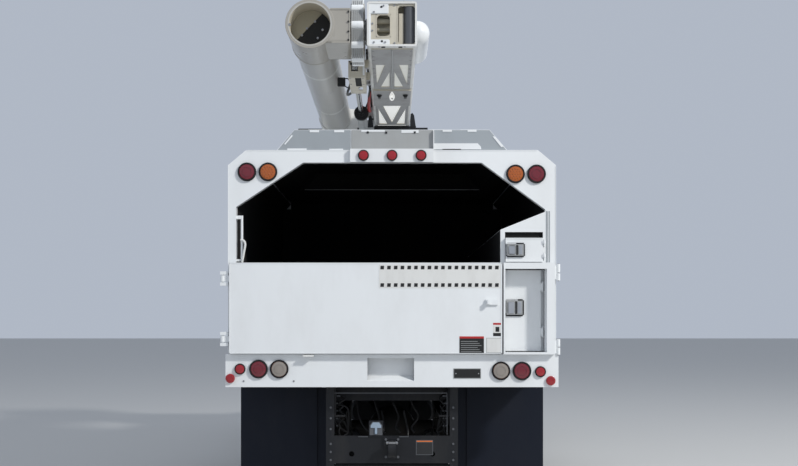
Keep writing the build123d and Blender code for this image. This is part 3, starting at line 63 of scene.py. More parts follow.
# Materials
def material(name, color, rough=0.5, metal=0.0, coat=0.0, dirt=0.0, dirt_color=(0.20, 0.18, 0.15), bump=0.0,
             scale=6.0, spread=0.0):
    m = bpy.data.materials.new(name)
    m.use_nodes = True
    nt = m.node_tree
    b = shader(m)
    b.inputs["Base Color"].default_value = (*color, 1)
    b.inputs["Roughness"].default_value = rough
    b.inputs["Metallic"].default_value = metal
    b.inputs["Coat Weight"].default_value = coat
    b.inputs["Coat Roughness"].default_value = 0.12
    if dirt or bump or spread:
        tc = nt.nodes.new("ShaderNodeTexCoord")
        mp = nt.nodes.new("ShaderNodeMapping")
        mp.inputs["Scale"].default_value = (1.0, 1.0, 0.35)
        nt.links.new(tc.outputs["Object"], mp.inputs["Vector"])
    if dirt:
        n = nt.nodes.new("ShaderNodeTexNoise")
        n.inputs["Scale"].default_value = scale
        n.inputs["Detail"].default_value = 7.0
        n.inputs["Roughness"].default_value = 0.62
        nt.links.new(mp.outputs["Vector"], n.inputs["Vector"])
        r = nt.nodes.new("ShaderNodeValToRGB")
        r.color_ramp.elements[0].position = 0.46
        r.color_ramp.elements[1].position = 0.78
        r.color_ramp.elements[0].color = (0, 0, 0, 1)
        r.color_ramp.elements[1].color = (dirt, dirt, dirt, 1)
        nt.links.new(n.outputs["Fac"], r.inputs["Fac"])
        mix = nt.nodes.new("ShaderNodeMix")
        mix.data_type = "RGBA"
        mix.inputs[6].default_value = (*color, 1)
        mix.inputs[7].default_value = (*dirt_color, 1)
        nt.links.new(r.outputs["Color"], mix.inputs[0])
        nt.links.new(mix.outputs[2], b.inputs["Base Color"])
    if spread:
        n2 = nt.nodes.new("ShaderNodeTexNoise")
        n2.inputs["Scale"].default_value = scale * 3
        n2.inputs["Detail"].default_value = 4.0
        nt.links.new(mp.outputs["Vector"], n2.inputs["Vector"])
        mr = nt.nodes.new("ShaderNodeMapRange")
        mr.inputs["To Min"].default_value = max(0.02, rough - spread)
        mr.inputs["To Max"].default_value = rough + spread
        nt.links.new(n2.outputs["Fac"], mr.inputs["Value"])
        nt.links.new(mr.outputs["Result"], b.inputs["Roughness"])
    if bump:
        n3 = nt.nodes.new("ShaderNodeTexNoise")
        n3.inputs["Scale"].default_value = scale * 40
        n3.inputs["Detail"].default_value = 3.0
        nt.links.new(tc.outputs["Object"], n3.inputs["Vector"])
        bp = nt.nodes.new("ShaderNodeBump")
        bp.inputs["Strength"].default_value = bump
        bp.inputs["Distance"].default_value = 0.002
        nt.links.new(n3.outputs["Fac"], bp.inputs["Height"])
        nt.links.new(bp.outputs["Normal"], b.inputs["Normal"])
    return m


DUST = (0.34, 0.31, 0.27)
# Columns: name, colour, roughness, metal, coat, dirt and its colour, bump, pattern scale, roughness spread
ROWS = {
    "white": ("white_paint", (0.80, 0.82, 0.83), 0.34, 0, 0.35, 0.16, DUST, 0, 2.4, 0.08),
    "white_grimy": ("white_grimy", (0.72, 0.72, 0.70), 0.42, 0, 0.2, 0.35, (0.30, 0.27, 0.23),
                    0.05, 5.0, 0.1),
    "shade": ("shade_grey", (0.33, 0.36, 0.385), 0.45, 0, 0.2, 0.25, (0.20, 0.20, 0.19), 0.03, 3.0, 0.08),
    "grey": ("grey_paint", (0.36, 0.37, 0.37), 0.42, 0, 0.3, 0.35, (0.26, 0.25, 0.23), 0.03, 5.0, 0.08),
    "beige": ("beige_paint", (0.56, 0.52, 0.43), 0.48, 0, 0.15, 0.4, (0.26, 0.23, 0.19), 0.05, 7.0, 0.1),
    # arm and tubegrey: the boom's white parts darkened to grey, painted shade
    "arm": ("arm_painted_shade", (0.37, 0.35, 0.31), 0.30, 0, 0.4, 0.3, (0.26, 0.24, 0.2), 0.02, 4.0, 0.08),
    "tubegrey": ("tube_painted_shade", (0.47, 0.46, 0.43), 0.34, 0, 0.35, 0.2, (0.30, 0.28, 0.24), 0, 2.5, 0),
    "lining": ("boom_lining", (0.42, 0.39, 0.30), 0.6, 0, 0, 0.4, (0.14, 0.12, 0.09), 0.1, 6.0, 0.05),
    "dull": ("dull_grey", (0.10, 0.105, 0.115), 0.45, 0.2, 0, 0.3, (0.05, 0.05, 0.05), 0.05, 6.0, 0.08),
    "socket": ("socket_blue", (0.30, 0.38, 0.47), 0.4, 0, 0, 0.3, (0.10, 0.12, 0.15), 0.02, 9.0, 0.05),
    # lattice: darker grey standing in for the shade on the white lattice bars under the boom
    "lattice": ("lattice_painted_shade", (0.30, 0.30, 0.30), 0.5, 0, 0.1, 0.5, (0.15, 0.14, 0.13), 0.05, 8.0, 0.1),
    "black": ("black_paint", (0.012, 0.013, 0.016), 0.42, 0, 0.15, 0.4, (0.045, 0.042, 0.038),
              0.05, 6.0, 0.1),
    "frame": ("frame_paint", (0.014, 0.015, 0.018), 0.55, 0, 0, 0.5, (0.05, 0.045, 0.04), 0.12, 5.0, 0.1),
    "iron": ("iron", (0.035, 0.034, 0.033), 0.66, 0.4, 0, 0.55, (0.08, 0.06, 0.045), 0.25, 7.0, 0.1),
    "rubber": ("flap_rubber", (0.006, 0.009, 0.018), 0.55, 0, 0, 0.3, (0.022, 0.023, 0.026), 0.08, 4.0, 0.1),
    "tyre": ("tyre_rubber", (0.018, 0.018, 0.019), 0.72, 0, 0, 0.5, (0.085, 0.075, 0.062), 0.2, 6.0, 0.08),
    "chrome": ("chrome", (0.78, 0.79, 0.80), 0.12, 1.0, 0, 0, DUST, 0, 5.0, 0),
    "steel": ("steel", (0.45, 0.45, 0.46), 0.33, 1.0, 0, 0.35, (0.15, 0.12, 0.09), 0.05, 9.0, 0.08),
    "alu": ("aluminium", (0.62, 0.63, 0.65), 0.30, 1.0, 0, 0.2, (0.25, 0.23, 0.2), 0.03, 4.0, 0.08),
    "rim": ("rim_white", (0.66, 0.66, 0.65), 0.38, 0, 0.3, 0.6, (0.16, 0.13, 0.10), 0.06, 7.0, 0.1),
    "fibre": ("fibreglass", (0.64, 0.64, 0.60), 0.30, 0, 0.4, 0.25, (0.32, 0.29, 0.24), 0.02, 3.5, 0.08),
    "trim": ("trim_plastic", (0.03, 0.031, 0.033), 0.6, 0, 0, 0.2, (0.08, 0.075, 0.07), 0.12, 6.0, 0.05),
    "seat": ("seat_cloth", (0.07, 0.075, 0.085), 0.9, 0, 0, 0.2, (0.12, 0.11, 0.1), 0.5, 9.0, 0),
    # inside: near-black that paints the shade of dark interiors, slots and holes
    "inside": ("body_inside_shade", (0.004, 0.0042, 0.005), 0.85, 0, 0, 0.4, (0.010, 0.009, 0.008),
               0.3, 4.0, 0.05),
    "hose": ("hose_rubber", (0.012, 0.012, 0.013), 0.45, 0, 0, 0.2, (0.07, 0.065, 0.06), 0.05, 9.0, 0.05),
    "redhose": ("red_sleeve", (0.32, 0.02, 0.02), 0.45, 0, 0, 0.3, (0.1, 0.04, 0.03), 0.05, 9.0, 0.05),
    "label": ("label_white", (0.72, 0.72, 0.70), 0.4, 0, 0, 0.25, (0.35, 0.33, 0.3), 0, 9.0, 0),
    "orange": ("label_orange", (0.72, 0.16, 0.02), 0.4, 0, 0, 0.2, (0.3, 0.12, 0.05), 0, 9.0, 0),
    "labelred": ("label_red", (0.45, 0.02, 0.02), 0.4, 0, 0, 0.2, (0.2, 0.05, 0.04), 0, 9.0, 0),
    "labelblack": ("label_black", (0.012, 0.012, 0.012), 0.35, 0, 0, 0, DUST, 0, 9.0, 0),
}
M = {key: material(*row) for key, row in ROWS.items()}


for dark in ("rubber", "frame", "iron", "black", "tyre", "trim", "hose"):
    shader(M[dark]).inputs["Specular IOR Level"].default_value = 0.22
# Bay sheets glow though they are no lamps: painted light seen through the openings under the boom, brighter
# in the far bays
M["bay_far"] = material("bay_far", (0.82, 0.82, 0.79), 0.6, 0, 0, 0.15, (0.5, 0.48, 0.44), 0, 5.0, 0)
M["bay_near"] = material("bay_near", (0.74, 0.73, 0.68), 0.6, 0, 0, 0.25, (0.4, 0.38, 0.33), 0, 5.0, 0)
for bay, glow in (("bay_far", 0.32), ("bay_near", 0.08)):
    socket = shader(M[bay]).inputs
    socket["Emission Color"].default_value = (1.0, 0.99, 0.95, 1)
    socket["Emission Strength"].default_value = glow


def lens(name, color, alpha_rough=0.12, glow=0.0):
    m = material(name, color, alpha_rough, 0, 0.8)
    b = shader(m)
    b.inputs["Transmission Weight"].default_value = 0.25
    b.inputs["IOR"].default_value = 1.49
    if glow:
        b.inputs["Emission Color"].default_value = (*color, 1)
        b.inputs["Emission Strength"].default_value = glow
    return m


M["red"] = lens("red_lens", (0.40, 0.006, 0.014), 0.18, 0.03)
M["darkred"] = lens("dark_red_lens", (0.20, 0.010, 0.022), 0.20, 0.0)
M["amber"] = lens("amber_lens", (0.50, 0.12, 0.012), 0.20, 0.02)
M["clear"] = lens("clear_lens", (0.86, 0.86, 0.84), 0.10, 0.05)
M["frosted"] = lens("frosted_lens", (0.36, 0.32, 0.28), 0.25, 0.0)


def glass():
    m = bpy.data.materials.new("window_glass")
    m.use_nodes = True
    b = shader(m)
    b.inputs["Base Color"].default_value = (0.70, 0.80, 0.78, 1)
    b.inputs["Roughness"].default_value = 0.02
    b.inputs["Transmission Weight"].default_value = 1.0
    b.inputs["IOR"].default_value = 1.45
    return m


M["glass"] = glass()
M["mirror"] = material("mirror_face", (0.85, 0.87, 0.88), 0.03, 1.0)


# The CAD nodes take their finishes
FINISH = {
    "chassis_frame": "frame", "front_axle": "frame", "rear_axle": "iron", "powertrain": "iron",
    "front_bumper": "black", "fuel_tank": "alu", "step_box": "black", "cab_shell": "white",
    "cab_glass": "glass", "cab_interior": "trim", "body_floor": "frame", "body_walls": "white",
    "body_roof": "white", "rear_frame": "white", "rear_sill": "white", "tool_tunnel": "white",
    "tail_lamps": "red", "signal_lamps": "amber", "mud_flaps": "rubber", "rear_hitch": "black",
    "cross_boxes": "white", "pedestal": "white", "boom_rest": "black", "hood": "white",
    "grille": "trim", "headlamps": "clear", "door_left": "white", "door_glass_left": "glass",
    "door_right": "white", "door_glass_right": "glass", "knuckle_left": "iron", "knuckle_right": "iron",
    "tyre_front_left": "tyre", "rim_front_left": "rim", "tyre_front_right": "tyre",
    "rim_front_right": "rim", "tyres_rear_left": "tyre", "rims_rear_left": "rim",
    "tyres_rear_right": "tyre", "rims_rear_right": "rim", "tailgate": "white",
    "tunnel_door_upper": "white", "tunnel_door_lower": "white", "cabinet_door_left": "white",
    "cabinet_door_right": "white", "turntable": "white_grimy", "lift_barrel": "black",
    "lift_rod": "chrome", "lower_boom": "white_grimy", "boom_plates": "beige", "boom_saddle": "black",
    "boom_cover": "white", "elbow_barrel": "grey", "elbow_rod": "chrome", "upper_tube": "tubegrey",
    "elbow_arm": "arm", "tip_arm": "white_grimy", "level_sheave": "frame", "bucket": "fibre",
}


def node_meshes():
    for o in bpy.data.objects:
        if o.type != "MESH":
            continue
        for node in FINISH:
            if o.name == node or o.name.startswith(node + ".") or o.name.startswith(node + "_solid"):
                yield node, o


for node, o in list(node_meshes()):
    o.data.materials.clear()
    o.data.materials.append(M[FINISH[node]])


def paint_faces(node, finish, test):
    """A second finish for the faces of a node that pass the test, by centre and normal."""
    for name, o in list(node_meshes()):
        if name != node:
            continue
        o.data.materials.append(M[finish])
        for f in o.data.polygons:
            if test(o.matrix_world @ f.center, f.normal):
                f.material_index = len(o.data.materials) - 1


# Downward-facing faces of the underside plates take the darker lattice grey: painted shade.
paint_faces("boom_plates", "lattice",
            lambda c, n: c.z < 3.41 and abs(c.x) < 0.2 and c.y > SHIFT - 0.15 and n.z < -0.3)


# Small shapes collected into one object for each body and finish. A shape's method gives the batch back.
class Batch:
    def __init__(self, name, body, mat, smooth=False):
        self.name, self.body, self.mat, self.smooth = name, body, mat, smooth
        self.bm = bmesh.new()

    def _take(self, verts, faces):
        made = [self.bm.verts.new(v) for v in verts]
        for f in faces:
            try:
                self.bm.faces.new([made[i] for i in f])
            except ValueError:
                pass
        return made

    def box(self, x0, x1, y0, y1, z0, z1, bevel=0.0):
        if bevel <= 0:
            a, b = P(min(x0, x1), min(y0, y1), min(z0, z1)), P(max(x0, x1), max(y0, y1), max(z0, z1))
            v = [(x, y, z) for x in (a.x, b.x) for y in (a.y, b.y) for z in (a.z, b.z)]
            self._take(v, [(0, 1, 3, 2), (4, 6, 7, 5), (0, 4, 5, 1), (2, 3, 7, 6), (0, 2, 6, 4),
                           (1, 5, 7, 3)])
            return self
        t = bmesh.new()
        bmesh.ops.create_cube(t, size=1.0)
        a, b = P(x0, y0, z0), P(x1, y1, z1)
        c, d = (a + b) / 2, b - a
        for v in t.verts:
            v.co = Vector((c.x + v.co.x * abs(d.x), c.y + v.co.y * abs(d.y), c.z + v.co.z * abs(d.z)))
        bmesh.ops.bevel(t, geom=t.edges[:], offset=bevel / 1000, segments=2, affect="EDGES",
                        clamp_overlap=True)
        self._merge(t)
        return self

    def _merge(self, t):
        t.verts.ensure_lookup_table()
        keep = [self.bm.verts.new(v.co) for v in t.verts]
        for f in t.faces:
            self.bm.faces.new([keep[v.index] for v in f.verts])
        t.free()

    def lathe(self, axis, centre, profile, segs=32, closed=False):
        """Turns a profile of (along, radius) about an axis through a centre."""
        rings = []
        for along, r in profile:
            row = []
            for n in range(segs):
                a = 2 * math.pi * n / segs
                u, w = r * math.cos(a), r * math.sin(a)
                if axis == "x":
                    co = P(along, centre[0] + u, centre[1] + w)
                elif axis == "y":
                    co = P(centre[0] + u, along, centre[1] + w)
                else:
                    co = P(centre[0] + u, centre[1] + w, along)
                row.append(self.bm.verts.new(co))
            rings.append(row)
        pairs = list(zip(rings, rings[1:])) + ([(rings[-1], rings[0])] if closed else [])
        for p, q in pairs:
            for n in range(segs):
                m = (n + 1) % segs
                self.bm.faces.new([p[n], p[m], q[m], q[n]])
        if not closed:
            self.bm.faces.new(rings[0][::-1])
            self.bm.faces.new(rings[-1])
        return self

    def cyl(self, axis, centre, r, low, high, segs=24, soft=0.0):
        line = [(low, r), (high, r)]
        if soft:
            line = [(low, r - soft), (low + soft, r), (high - soft, r), (high, r - soft)]
        return self.lathe(axis, centre, line, segs)

    def ring(self, axis, centre, outer, inner, low, high, segs=40, soft=0.0):
        line = [(low, inner), (low, outer - soft), (low + soft, outer), (high - soft, outer),
                (high, outer - soft), (high, inner)]
        return self.lathe(axis, centre, line, segs, True)

    def hexes(self, axis, centre, r, low, high):
        return self.lathe(axis, centre, [(low, r), (high - r * 0.12, r), (high, r * 0.86)], 6)

    def prism(self, points, axis, low, high):
        spot = {"x": lambda p, t: P(t, p[0], p[1]), "y": lambda p, t: P(p[0], t, p[1]),
                "z": lambda p, t: P(p[0], p[1], t)}[axis]
        a = [self.bm.verts.new(spot(p, low)) for p in points]
        b = [self.bm.verts.new(spot(p, high)) for p in points]
        n = len(points)
        self.bm.faces.new(a[::-1])
        self.bm.faces.new(b)
        for i in range(n):
            j = (i + 1) % n
            self.bm.faces.new([a[i], a[j], b[j], b[i]])
        return self

    def tube(self, points, r, segs=10, steps=6):
        """A round tube along a smooth path through points in CAD millimetres."""
        pts = [P(*p) for p in points]
        path = []
        for i in range(len(pts) - 1):
            p0, p1 = pts[max(i - 1, 0)], pts[i]
            p2, p3 = pts[i + 1], pts[min(i + 2, len(pts) - 1)]
            for k in range(steps):
                t = k / steps
                path.append(0.5 * ((2 * p1) + (p2 - p0) * t + (2 * p0 - 5 * p1 + 4 * p2 - p3) * t * t
                                   + (3 * p1 - p0 - 3 * p2 + p3) * t ** 3))
        path.append(pts[-1])
        rows, up = [], None
        for i, p in enumerate(path):
            d = (path[min(i + 1, len(path) - 1)] - path[max(i - 1, 0)]).normalized()
            if up is None:
                up = Vector((0, 0, 1)) if abs(d.z) < 0.9 else Vector((1, 0, 0))
            side = d.cross(up).normalized()
            up = side.cross(d).normalized()
            angles = [2 * math.pi * n / segs for n in range(segs)]
            rows.append([self.bm.verts.new(p + (side * math.cos(a) + up * math.sin(a)) * r / 1000)
                         for a in angles])
        for a, b in zip(rows, rows[1:]):
            for n in range(segs):
                m = (n + 1) % segs
                self.bm.faces.new([a[n], a[m], b[m], b[n]])
        self.bm.faces.new(rows[0][::-1])
        self.bm.faces.new(rows[-1])
        return self

    def done(self):
        bmesh.ops.recalc_face_normals(self.bm, faces=self.bm.faces)
        me = bpy.data.meshes.new(self.name)
        self.bm.to_mesh(me)
        self.bm.free()
        o = bpy.data.objects.new(self.name, me)
        bpy.context.scene.collection.objects.link(o)
        me.materials.append(M[self.mat])
        if self.smooth:
            for p in me.polygons:
                p.use_smooth = True
            me.set_sharp_from_angle(angle=math.radians(35))
        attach(o, self.body)
        return o


FRONT_Y, REAR_Y = 6960, 1400
AXLE_Z = 525


# Tyres: tread blocks, grooves and sidewall rings
def tread(name, body, centres, y):
    b = Batch(name, body, "tyre")
    for x in centres:
        count = 44
        for n in range(count):
            a = 2 * math.pi * n / count
            for lo, hi, turn in ((-104, -58, 0.0), (-50, -6, 0.5), (6, 50, 0.0), (58, 104, 0.5)):
                base = a + 2 * math.pi / count * turn
                wide = 2 * math.pi / count * 0.38
                corners = []
                for da in (-wide, wide):
                    for xx in (lo, hi):
                        skew = 0.018 * (1 if xx > 0 else -1)
                        for r in (520.0, 524.6):
                            ang = base + da + skew
                            corners.append(P(x + xx, y + r * math.cos(ang), AXLE_Z + r * math.sin(ang)))
                b._take(corners, [(0, 1, 3, 2), (4, 6, 7, 5), (0, 4, 5, 1), (2, 3, 7, 6), (1, 5, 7, 3)])
    b.done()
    s = Batch(name + "_wall", body, "tyre", True)
    for x in centres:
        for side in (-1, 1):
            for r, h in ((480, 2.4), (352, 3.0), (318, 3.5)):
                face = 136 if r > 400 else 139.4 - (0 if r > 330 else 14)
                line = [(x + side * (face - 4), r - 9), (x + side * (face + h * 0.5), r),
                        (x + side * (face - 4), r + 9)]
                s.lathe("x", (y, AXLE_Z), line, 72, True)
    s.done()


def wheel_nuts(name, body, x, y, side, face, r=140, count=10):
    b = Batch(name, body, "steel")
    for n in range(count):
        a = 2 * math.pi * n / count
        c = (y + r * math.cos(a), AXLE_Z + r * math.sin(a))
        lo, hi = sorted((x + side * face, x + side * (face + 20)))
        b.hexes("x", c, 16, lo, hi)
        b.cyl("x", c, 8, lo, hi + (6 if side > 0 else 0), 8)
    b.cyl("x", (y, AXLE_Z), 62, *sorted((x + side * (face + 10), x + side * (face + 70))), 28, 6)
    b.done()


for side, word in ((-1, "left"), (1, "right")):
    tread("tread_front_" + word, "wheel_front_" + word, [side * 1010], FRONT_Y)
    tread("treads_rear_" + word, "wheels_rear_" + word, [side * 755, side * 1058], REAR_Y)
    wheel_nuts("nuts_front_" + word, "wheel_front_" + word, side * 1010, FRONT_Y, side, 36)
    wheel_nuts("nuts_rear_" + word, "wheels_rear_" + word, side * 1058, REAR_Y, side, 0, 120)


# Chip box: rear faces of gate and sill, then heights and faces inside
GATE, SILL = -62, -20
HUMP_TOP, CEILING, EAVE = 2843, 2663, 2560
HEADBOARD, INNER_X = 3628, 1139


# Rear of the chip box
def rear_details():
    b = Batch("gate_band_white", "tailgate", "label")
    x0, x1 = -95, 790
    z0, z1 = 1682, 1852
    b.box(x0, x1, GATE - 1.2, GATE, z0, z1)
    b.done()
    b = Batch("gate_band_squares", "tailgate", "labelblack")
    for n in range(18):
        x = x0 + 10 + n * 49
        for low in (1691, 1818):
            corners = [(x, low), (x + 26, low), (x + 28, low + 26), (x + 2, low + 26)]
            b.prism(corners, "y", GATE - 1.9, GATE - 1.1)
    b.done()
    b = Batch("gate_edges", "tailgate", "white")
    for z in (1207, 1862):
        b.box(-1183, 798, GATE - 2, GATE, z - 2, z + 3)
    b.box(-1184, -1178, GATE - 2, GATE, 1206, 1866)
    b.box(792, 798, GATE - 2, GATE, 1206, 1866)
    b.done()


def grommets():
    b = Batch("lamp_grommets", "truck", "hose", True)
    # Columns: x, z, radius, seat in y, lens finish, rubber ring or not
    lamps = [
        (-1061, 2533, 56, 0, "darkred", True), (-907, 2533, 56, 0, "amber", True),
        (903, 2518, 56, 0, "amber", True), (1057, 2518, 56, 0, "darkred", True),
        (-208, 2650, 33, -30, "red", True), (0, 2650, 33, -30, "red", True),
        (212, 2650, 33, -30, "red", True), (-1109, 1092, 33, -20, "red", True),
        (-1180, 1024, 34, -20, "red", False), (-974, 1092, 56, -20, "darkred", True),
        (-823, 1092, 56, -20, "frosted", True), (795, 1079, 56, -20, "frosted", True),
        (948, 1078, 56, -20, "darkred", True), (1083, 1073, 33, -20, "red", True),
        (1158, 1007, 34, -20, "red", False),
    ]
    domes = {k: Batch("lens_domes_" + k, "truck", k, True) for k in ("red", "darkred", "amber", "frosted")}
    dots = Batch("lens_amber_dots", "truck", "amber", True)
    for x, z, r, y, kind, ring in lamps:
        if ring:
            b.ring("y", (x, z), r * 1.22, r * 1.004, y - 17, y, 48, 4.0)
        t = domes[kind]
        steps = [(y - 14, 0.985), (y - 16, 0.95), (y - 17.5, 0.80), (y - 18.5, 0.45), (y - 19, 0.04)]
        t.lathe("y", (x, z), [(a, r * k) for a, k in steps], 40)
        if not ring:
            t.ring("y", (x, z), r * 0.66, r * 0.58, y - 20.5, y - 16, 32, 0.8)
            continue
        if kind == "amber":
            for rad, count in ((0, 1), (20, 6), (38, 12)):
                for n in range(count):
                    a = 2 * math.pi * n / count
                    spot = (x + rad * math.cos(a), z + rad * math.sin(a))
                    dots.cyl("y", spot, 5.5, y - 21.5, y - 16, 12, 1.5)
        elif r > 40:
            t.ring("y", (x, z), r * 0.62, r * 0.56, y - 20.5, y - 17, 40, 0.8)
    b.done()
    for t in list(domes.values()) + [dots]:
        t.done()


def sill_details():
    Batch("sill_plate_border", "truck", "grey").box(448, 650, SILL - 3, SILL, 1022, 1097, 1.2).done()
    Batch("sill_plate", "truck", "labelblack").box(453, 645, SILL - 4, SILL - 1, 1027, 1092, 0.8).done()
    b = Batch("sill_screws", "truck", "steel", True)
    for x in (-1082.66, -716.90):
        b.cyl("y", (x, 1003.77), 7, SILL - 4, SILL, 12, 1.5)
    for x in (466, 632):
        b.cyl("y", (x, 1059), 5, SILL - 6.5, SILL - 4, 10, 1)
    b.done()
    # Two blank stickers: a plain strip of colour on top, plain bars below
    b = Batch("gate_label_red", "tailgate", "labelred")
    b.box(490, 668, GATE - 1.2, GATE, 1316, 1331)
    b.box(735, 796, GATE - 1.2, GATE, 1415, 1429)
    b.done()
    b = Batch("gate_label_black", "tailgate", "labelblack")
    b.box(490, 668, GATE - 1.2, GATE, 1205, 1316)
    b.box(735, 796, GATE - 1.2, GATE, 1333, 1356)
    b.box(752, 780, GATE - 1.6, GATE, 1364, 1400)
    b.done()
    b = Batch("gate_label_white", "tailgate", "label")
    b.box(735, 796, GATE - 1.2, GATE, 1356, 1415)
    b.box(684, 796, GATE - 1, GATE, 1212, 1322)
    b.done()
    b = Batch("gate_label_lines", "tailgate", "grey")
    for n in range(6):
        b.box(500, 650 - 14 * (n % 3), GATE - 1.8, GATE - 1, 1218 + n * 15, 1221 + n * 15)
    for z in (1214, 1318):
        b.box(686, 794, GATE - 1.4, GATE - 0.6, z - 1.5, z + 1.5)
    for x in (687, 793):
        b.box(x - 1.5, x + 1.5, GATE - 1.4, GATE - 0.6, 1214, 1318)
    b.done()
    Batch("sill_tab", "truck", "label").box(-648, -570, SILL - 54, SILL, 1182, 1197, 1).done()


rear_details()
grommets()
sill_details()


# Chip box: seams, rivets, door hardware, roof edges
def body_details():
    b = Batch("frame_seams", "truck", "white")
    for side in (-1, 1):
        b.box(side * 300, side * 304, -3, 0, 2606, 2692)
        b.box(side * 1196, side * 1200.6, -2.5, 0, 1204, 2580)
        b.box(side * 300, side * 1060, -2.2, 0, 2688, 2694)
    b.box(-640, -301, -2, 0, 2602, 2606)
    b.box(301, 645, -2, 0, 2602, 2606)
    b.box(302, 308, -6, 18, 2612, 2840)
    b.box(-306, -300, -32, -2, 2604, 2700)
    b.done()


def roof_face():
    # Rear face of the raised roof part: grey sheets of painted shade, straps along its edges, and a white
    # band of painted sunlight
    b = Batch("hump_skin", "truck", "shade")
    b.prism([(-838, 2697), (-303, 2697), (-303, HUMP_TOP), (-715, HUMP_TOP)], "y", 17.6, 19.8)
    b.prism([(309, 2697), (838, 2697), (715, HUMP_TOP), (309, HUMP_TOP)], "y", 17.6, 19.8)
    b.done()
    Batch("hump_skin_middle", "truck", "grey").box(-298, 301, 17.2, 19.8, 2703, HUMP_TOP).done()
    b = Batch("roof_straps", "truck", "white")
    for x in (-560, -330, 330, 560):
        b.box(x - 55, x + 55, 30, 75, 2846, 2849)
    for x in (-980, -760, 760, 980):
        b.box(x - 50, x + 50, 20, 80, 2694, 2697)
    for x0, x1, z0, z1 in (
        (-604, -535, 2826, 2842), (-424, -351, 2826, 2842), (-226, -53, 2830, HUMP_TOP),
        (69, 195, 2822, HUMP_TOP), (371, 439, 2830, 2846), (554, 620, 2830, 2846),
        (-768, -626, 2696, 2708), (-461, -358, 2696, 2706),
    ):
        b.box(x0, x1, 14.5, 17.2, z0, z1)
    b.prism([(-790, 2742), (-784, 2734), (-727, 2800), (-735, 2808)], "y", 14.5, 17.4)
    b.prism([(737, 2796), (758, 2796), (821, 2722), (800, 2718)], "y", 14.5, 17.4)
    # White band along the right part's lower edge: painted sunlight below the shaded upper face.
    b.prism([(309, 2701), (655, 2701), (651, 2722), (628, 2745), (309, 2745)], "y", 12.5, 17.4)
    b.done()
    # Black strip and squares paint the shadow in the slot under the white band and in three bolt holes.
    b = Batch("hump_gap", "truck", "labelblack")
    b.box(371, 505, 11.6, 12.6, 2698, 2704)
    for x, z in ((-177, 2826), (-42, 2824), (167, 2826)):
        b.box(x - 7, x + 7, 12, 17, z - 7, z + 7)
    b.done()


def right_post():
    # The grey sheet paints the shade in the channel between the tunnel face and the post.
    Batch("post_groove", "truck", "shade").box(1127, 1156, -1.6, 0, 1872, 2247).done()
    Batch("post_groove_line", "truck", "white").box(1139, 1144, -4, -1.4, 1872, 2247).done()
    b = Batch("right_knuckles", "truck", "white", True)
    pins = Batch("right_knuckle_pins", "truck", "steel", True)
    for z0, z1 in ((1738, 1858), (1196, 1310)):
        b.cyl("z", (1215, -22), 13, z0, z0 + 52, 20, 2)
        b.cyl("z", (1215, -22), 13, z0 + 58, z1, 20, 2)
        b.box(1188, 1216, -26, -14, z0 + 8, z1 - 8, 2)
        pins.cyl("z", (1215, -22), 7, z0 - 5, z1 + 5, 14, 1.5)
    b.done()
    pins.done()


def wall_rivets():
    b = Batch("wall_rivets", "truck", "steel", True)
    for side in (-1, 1):
        for n in range(7):
            y = 530 + n * 480
            for k in range(12):
                z = 1270 + k * 112
                b.cyl("x", (y, z), 6, *sorted((side * 1200, side * 1202.5)), 8, 1.0)
    b.done()


def tunnel_latches():
    for word, body, y, z0, z1 in (("upper", "tunnel_door_upper", -24, 1908, 2013),
                                  ("lower", "tunnel_door_lower", 48, 1478, 1603)):
        Batch("latch_plate_" + word, body, "dull", True).box(830, 970, y - 17, y, z0, z1, 9).done()
        b = Batch("latch_dish_" + word, body, "grey", True)
        b.box(840, 960, y - 18.6, y - 15, z0 + 10, z1 - 10, 1.6)
        b.done()
        b = Batch("latch_paddle_" + word, body, "alu", True)
        b.box(850, 898, y - 25, y - 17, z0 + 20, z1 - 20, 4)
        b.box(924, 950, y - 22, y - 17, z0 + 20, z1 - 20, 2)
        b.done()
        b = Batch("latch_slot_" + word, body, "trim", True)
        b.box(904, 920, y - 20.5, y - 17, z0 + 16, z1 - 16, 1.5)
        b.done()


def opening_rims():
    b = Batch("upper_door_rim", "tunnel_door_upper", "white")
    for z in (1878, 2046):
        b.box(831, 1100, -27, -24, z - 3, z + 3)
    b.done()
    Batch("lower_jamb", "truck", "white").box(1090, 1121, 76, 78, 1220, 1820).done()
    # A near-black sheet paints the shade inside the open slot above the upper door.
    Batch("upper_slot_dark", "truck", "inside").box(816, 1118, 22, 25, 2040, 2108).done()
    b = Batch("lower_door_rim", "tunnel_door_lower", "white")
    b.box(829, 1096, 45, 48, 1222, 1228)
    b.box(829, 1096, 45, 48, 1811, 1817)
    b.done()
    b = Batch("grab_rod", "truck", "label", True)
    b.tube([(-1110, 14, 2036), (-1088, 12, 2032), (-1076, 12, 2004), (-1086, 12, 1940),
            (-1098, 12, 1872)], 8)
    b.done()


